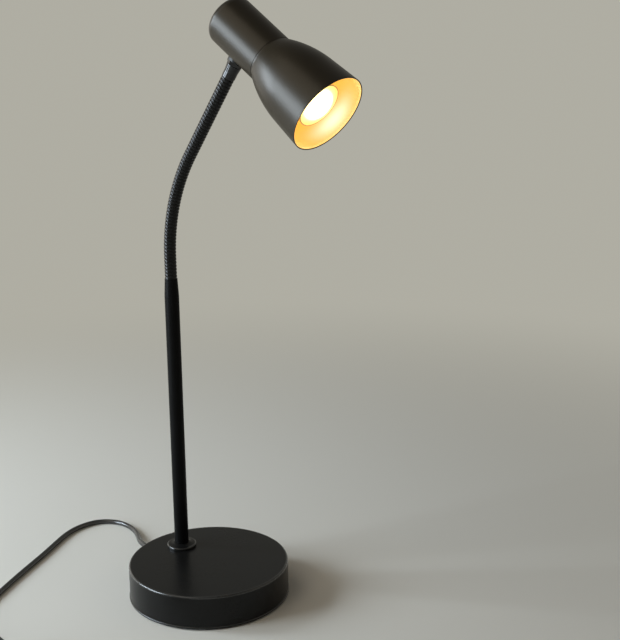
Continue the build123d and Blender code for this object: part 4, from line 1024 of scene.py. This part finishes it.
def rockerBlock(shape):
    bm = bmesh.new()
    outline = []
    for k in range(shape["steps"] + 1):
        y = shape["half"] * (2 * k / shape["steps"] - 1)
        share = (abs(y) - shape["ridgeFrom"]) / (shape["ridgeTo"] - shape["ridgeFrom"])
        ridge = shape["ridgeRise"] * wave(shape["ridges"] * share) if 0 < share < 1 else 0.0
        outline.append((y, shape["dip"] + (shape["top"] - shape["dip"]) * abs(y) / shape["half"] + ridge))
    outline += [(shape["side"], 0), (shape["belly"], shape["low"]), (-shape["belly"], shape["low"]),
                (-shape["side"], 0)]
    shrink = 1 - shape["bevel"] / shape["half"]
    edge = shape["width"] / 2
    inset = edge - shape["bevel"]
    drop = shape["bevelDrop"]
    sides = [(-edge, shrink, drop), (-inset, 1.0, 0.0), (inset, 1.0, 0.0), (edge, shrink, drop)]
    rows = [[bm.verts.new((x * mm, y * share * mm, (z - fall) * mm)) for y, z in outline]
            for x, share, fall in sides]
    bridge(bm, rows, capped=True)
    tilt = Matrix.Rotation(math.radians(shape["tilt"]), 4, "X")
    return newPiece("switchRocker", bm, rockerGloss, Matrix.Translation(Vector(shape["pivot"]) * mm) @ tilt)


rocker = lampPiece(rockerBlock(rockerShape), "rocker", "rocker_plastic", "switch_rocker")
print("plug, tie and switch made")

# Solids that keep their own shape get their finish here
kept = {
    foam: ["foot_pad"], iron: ["ballast_disc"], brass: ["holder_sleeve", "holder_contact", "bulb_contact"],
    zinc: ["bottom_screws", "clamp_screws", "terminal_screws", "stem_nipple", "stem_washer", "stem_nut",
           "head_nipple", "head_nut", "holder_bracket", "holder_screw", "switch_screws", "cord_clamp"],
    dullSteel: ["head_saddle"], palePlastic: ["terminal_block"],
    cordSheath: ["base_lead", "stem_lead", "head_lead", "base_wires"],
    mouldedBlack: ["lampholder", "shade_ring"]}
for finish, names in kept.items():
    for name in names:
        nodes[name].data.materials.clear()
        nodes[name].data.materials.append(finish)

# Stage: pale floor that fades into the background, soft daylight from the left
stageLook = {
    "floor": colour(0.78, 0.755, 0.68), "floorRoughness": 0.85, "floorShine": 0.2, "size": 14.0,
    "fadeFrom": 0.25, "fadeTo": 1.3, "background": colour(0.43, 0.42, 0.365), "mirrored": 0.62,
    "worldStrength": 0.11, "worldLight": colour(1.0, 0.97, 0.92), "dimFrom": 0.3, "dimTo": 0.9,
    "zenith": 0.26}


# Share of the plain background that a ray sees: whole for the camera and through glass, less in reflections
def backgroundShare(start, level=1.0):
    camera, through, glossy = [start.node("ShaderNodeLightPath", out="Is %s Ray" % kind) for kind in (
        "Camera", "Transmission", "Glossy")]
    whole = start.math("MAXIMUM", camera, through)
    return start.math("MAXIMUM", whole, glossy * stageLook["mirrored"] * level)


def floorFinish():
    material, start, shader, place = newFinish("paleFloor", {
        "Base Color": stageLook["floor"], "Roughness": stageLook["floorRoughness"],
        "Specular IOR Level": stageLook["floorShine"]})
    far = start.vector("LENGTH", place, out="Value")
    fade = start.span(far, stageLook["fadeFrom"], stageLook["fadeTo"], 0.0, 1.0, "SMOOTHSTEP")
    glow = start.node("ShaderNodeEmission", values={"Color": stageLook["background"], "Strength": 1.0})
    plain = Flow(material.node_tree, shader.outputs[0])
    both = start.node("ShaderNodeMixShader", values={0: fade * backgroundShare(start), 1: plain, 2: glow})
    both.into(material.node_tree.nodes["Material Output"], "Surface")
    return material


floorMesh = bpy.data.meshes.new("floor")
half = stageLook["size"]
floorCorners = [(-half, -half, 0), (half, -half, 0), (half, half, 0), (-half, half, 0)]
floorMesh.from_pydata(floorCorners, [], [(0, 1, 2, 3)])
floorMesh.materials.append(floorFinish())
floor = bpy.data.objects.new("floor", floorMesh)
scene.collection.objects.link(floor)

world = bpy.data.worlds.new("studio")
scene.world = world
world.use_nodes = True
sky = Flow(world.node_tree)
backdrop = world.node_tree.nodes["Background"]
backdrop.inputs["Color"].default_value = stageLook["background"]
backdrop.inputs["Strength"].default_value = 1.0
rise = sky.node("ShaderNodeSeparateXYZ", values={0: sky.node("ShaderNodeTexCoord", out="Generated")}, out="Z")
level = sky.span(rise, stageLook["dimFrom"], stageLook["dimTo"], 1.0, stageLook["zenith"])  # darker overhead
ambient = sky.node(
    "ShaderNodeBackground",
    values={"Color": stageLook["worldLight"], "Strength": stageLook["worldStrength"]})
wholeSky = sky.node(
    "ShaderNodeMixShader",
    values={0: backgroundShare(sky, level), 1: ambient, 2: Flow(world.node_tree, backdrop.outputs[0])})
wholeSky.into(world.node_tree.nodes["World Output"], "Surface")

# Lights: two cool panes at the left, a warm wall, ceiling and room
daylight = (0.78, 0.89, 1.0)
lightLooks = {
    "windowLight": {"place": (-1.28, 0.59, 0.50), "aim": 0.36, "size": (0.5, 0.9), "power": 17.0,
                    "tint": daylight},
    "doorLight": {"place": (-0.95, 1.10, 0.78), "aim": 0.42, "size": (0.34, 0.74), "power": 14.0,
                  "tint": daylight},
    "wallLight": {"place": (-0.35, 1.8, 0.55), "aim": 0.4, "size": (1.7, 1.3), "power": 5.0,
                  "tint": (1.0, 0.96, 0.90)},
    "ceilingLight": {"place": (-1.25, 0.15, 1.85), "aim": 0.4, "size": (1.5, 1.5), "power": 6.0,
                     "tint": (1.0, 0.90, 0.76)},
    "roomLight": {"place": (1.1, -1.3, 1.2), "aim": 0.3, "size": (1.4, 1.2), "power": 1.5,
                  "tint": (1.0, 0.85, 0.62)}}
for name, look in lightLooks.items():
    pane = bpy.data.lights.new(name, "AREA")
    pane.shape = "RECTANGLE"
    pane.size, pane.size_y = look["size"]
    pane.energy = look["power"]
    pane.color = look["tint"]
    light = bpy.data.objects.new(name, pane)
    light.location = look["place"]
    aim = Vector((0, 0, look["aim"])) - Vector(look["place"])
    light.rotation_euler = aim.to_track_quat("-Z", "Y").to_euler()
    scene.collection.objects.link(light)

# Camera: the photo's place and angle
cameraLook = {
    "place": (-0.573, -0.775, 0.498), "forward": (0.6549, 0.7191, -0.2368), "roll": -0.6, "lens": 63.87,
    "sensor": 36.0, "near": 0.01, "far": 60.0}
cameraData = bpy.data.cameras.new("camera")
cameraData.sensor_fit = "HORIZONTAL"
cameraData.sensor_width = cameraLook["sensor"]
cameraData.lens = cameraLook["lens"]
cameraData.clip_start = cameraLook["near"]
cameraData.clip_end = cameraLook["far"]
camera = bpy.data.objects.new("camera", cameraData)
scene.collection.objects.link(camera)
forward = Vector(cameraLook["forward"]).normalized()
right = forward.cross(upward).normalized()
above = right.cross(forward)
roll = math.radians(cameraLook["roll"])
xAxis = right * math.cos(roll) + above * math.sin(roll)
camera.matrix_world = placeOf(cameraLook["place"], xAxis, -forward)
scene.camera = camera
print("stage and camera set")
